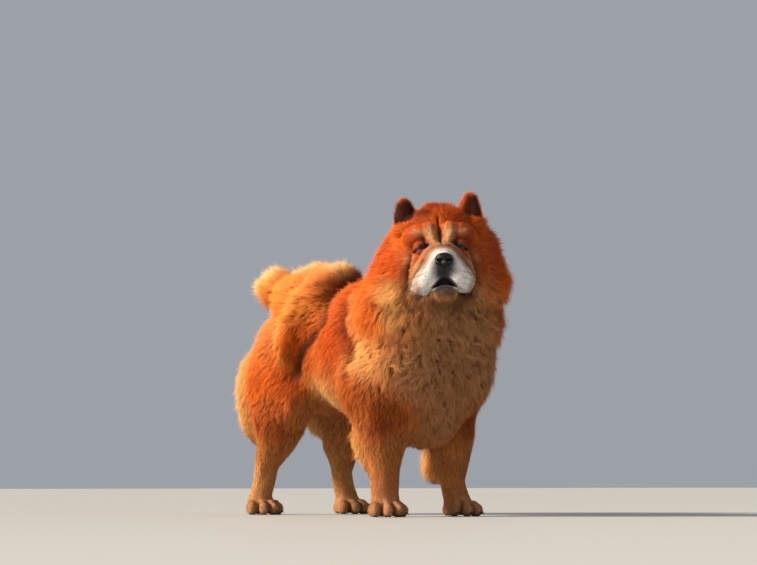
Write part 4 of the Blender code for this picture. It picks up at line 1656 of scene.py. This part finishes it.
def whisker_tree(material):
    """Turns whisker lines into slim tapering closed tubes."""
    g = Graph("whiskers")
    g.socket("Geometry", "NodeSocketGeometry")
    g.numbers({"Thickness": 0.00022})
    g.socket("Geometry", "NodeSocketGeometry", out=True)
    enter = g.inputs()
    lines = g.value(0, "GeometryNodeMeshToCurve", {"Mesh": enter["Geometry"]})
    taper = 1.0 - g.value("Factor", "GeometryNodeSplineParameter") * 0.8
    lines = g.value(0, "GeometryNodeSetCurveRadius", {"Curve": lines, "Radius": taper})
    circle = {"Resolution": 5, "Radius": enter["Thickness"]}
    ring = g.value("Curve", "GeometryNodeCurvePrimitiveCircle", circle)
    inputs = {"Curve": lines, "Profile Curve": ring, "Fill Caps": True}
    tubes = g.node("GeometryNodeCurveToMesh", inputs)
    if "Scale" in tubes.inputs:
        g.feed(tubes.inputs["Scale"], taper)
    tubes = g.value(0, "GeometryNodeRealizeInstances", {0: Value(g, tubes.outputs[0])})
    tubes = g.value(0, "GeometryNodeSetMaterial", {"Geometry": tubes, "Material": material})
    return g.leave({"Geometry": tubes})


def add_whisker(bm, root, normal, sweep, reach):
    """One whisker's line, which leaves the skin along its normal and bends to the sweep."""
    last = None
    for part in range(WHISKER_STEPS):
        share = part / (WHISKER_STEPS - 1)
        way = normal * 0.35 * share + sweep * (0.55 * share + 0.25 * share**2)
        vert = bm.verts.new(root - normal * 0.001 + way * reach)
        if last:
            bm.edges.new((last, vert))
        last = vert


def make_whiskers(skin, tree):
    """Rows of whiskers that sweep back and down from the muzzle."""
    bm = bmesh.new()
    turn = HEAD.to_3x3()
    for side in (1, -1):
        for row, (start, up, count) in enumerate(WHISKER_ROWS):
            for step in range(count):
                across = start + WHISKER_GAP * step - 0.0020 * (row % 2)
                before = HEAD @ Vector((side * across, -0.30, up - 0.0012 * step))
                found, root, normal, _ = skin.ray_cast(before, turn @ Vector((0, 1, 0)))
                sweep = turn @ Vector((side * 0.9, 0.35 + 0.1 * step, -0.25 - 0.15 * row))
                if found:
                    add_whisker(bm, root, normal, sweep, WHISKER_LENGTH * (0.7 + 0.1 * step))
    seed = link("whisker_lines", mesh_of(bm, "whisker_lines"))
    modifier = seed.modifiers.new("tubes", "NODES")
    modifier.node_group = tree
    whiskers = link("whiskers", baked(seed))
    whiskers.data.shade_smooth()
    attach(whiskers, "root")


# Each coat piece: the tufts' spacing and half-width, the clumps' size, and its slot
COAT = {
    "face": (0.00105, 0.00038, 0.0045, "muzzle_coat"),
    "ears": (0.00100, 0.00040, 0.0050, "ear_coat"),
    "head": (0.00110, 0.00048, 0.0080, "coat_red"),
    "ruff": (0.00115, 0.00060, 0.0120, "coat_gold"),
    "chest": (0.00110, 0.00056, 0.0072, "coat_gold"),
    "barrel": (0.00142, 0.00062, 0.0065, "coat_red"),
    "rump": (0.00108, 0.00055, 0.0065, "coat_red"),
    "forelegs": (0.00155, 0.00060, 0.0070, "coat_gold"),
    "hindlegs": (0.00175, 0.00066, 0.0070, "coat_gold"),
    "tail": (0.00105, 0.00058, 0.0105, "coat_gold"),
}


def main():
    """Sets up the room, then makes the skin and all that grows or sits on it."""
    make_camera()
    make_lights()
    make_floor()
    bpy.context.scene.view_settings.view_transform = "Standard"

    markings = shader_group_markings()
    skin = make_skin()
    dress_skin(skin)
    skin.data.materials.append(skin_material(markings))
    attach(skin, "root")
    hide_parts(*FLESH_NODES)

    tree = tuft_tree(coat_material(markings))
    for index, name in enumerate(REGIONS):
        spacing, width, clump, slot = COAT[name]
        settings = {
            "Region": float(index),
            "Spacing": spacing,
            "Width": width,
            "Clump Size": clump,
            "Seed": 20 + index,
        }
        coat = grow(skin, tree, "coat_" + name, settings)
        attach(coat, "root")

    grain = shader_group_grain()
    make_eyes(grained_material("eye_wet", grain, 0.30, 900.0, 0.4, 0.00001))
    make_nose(grained_material("nose_leather", grain, 0.38, 1300.0, 0.5, 0.00022))
    make_claws(grained_material("claw", grain, 0.38, 700.0, 0.6, 0.00008, srgb(40, 32, 28)))
    whisker = grained_material("whisker", grain, 0.4, 600.0, 0.5, 0.00002, srgb(52, 44, 40))
    make_whiskers(skin, whisker_tree(whisker))


main()
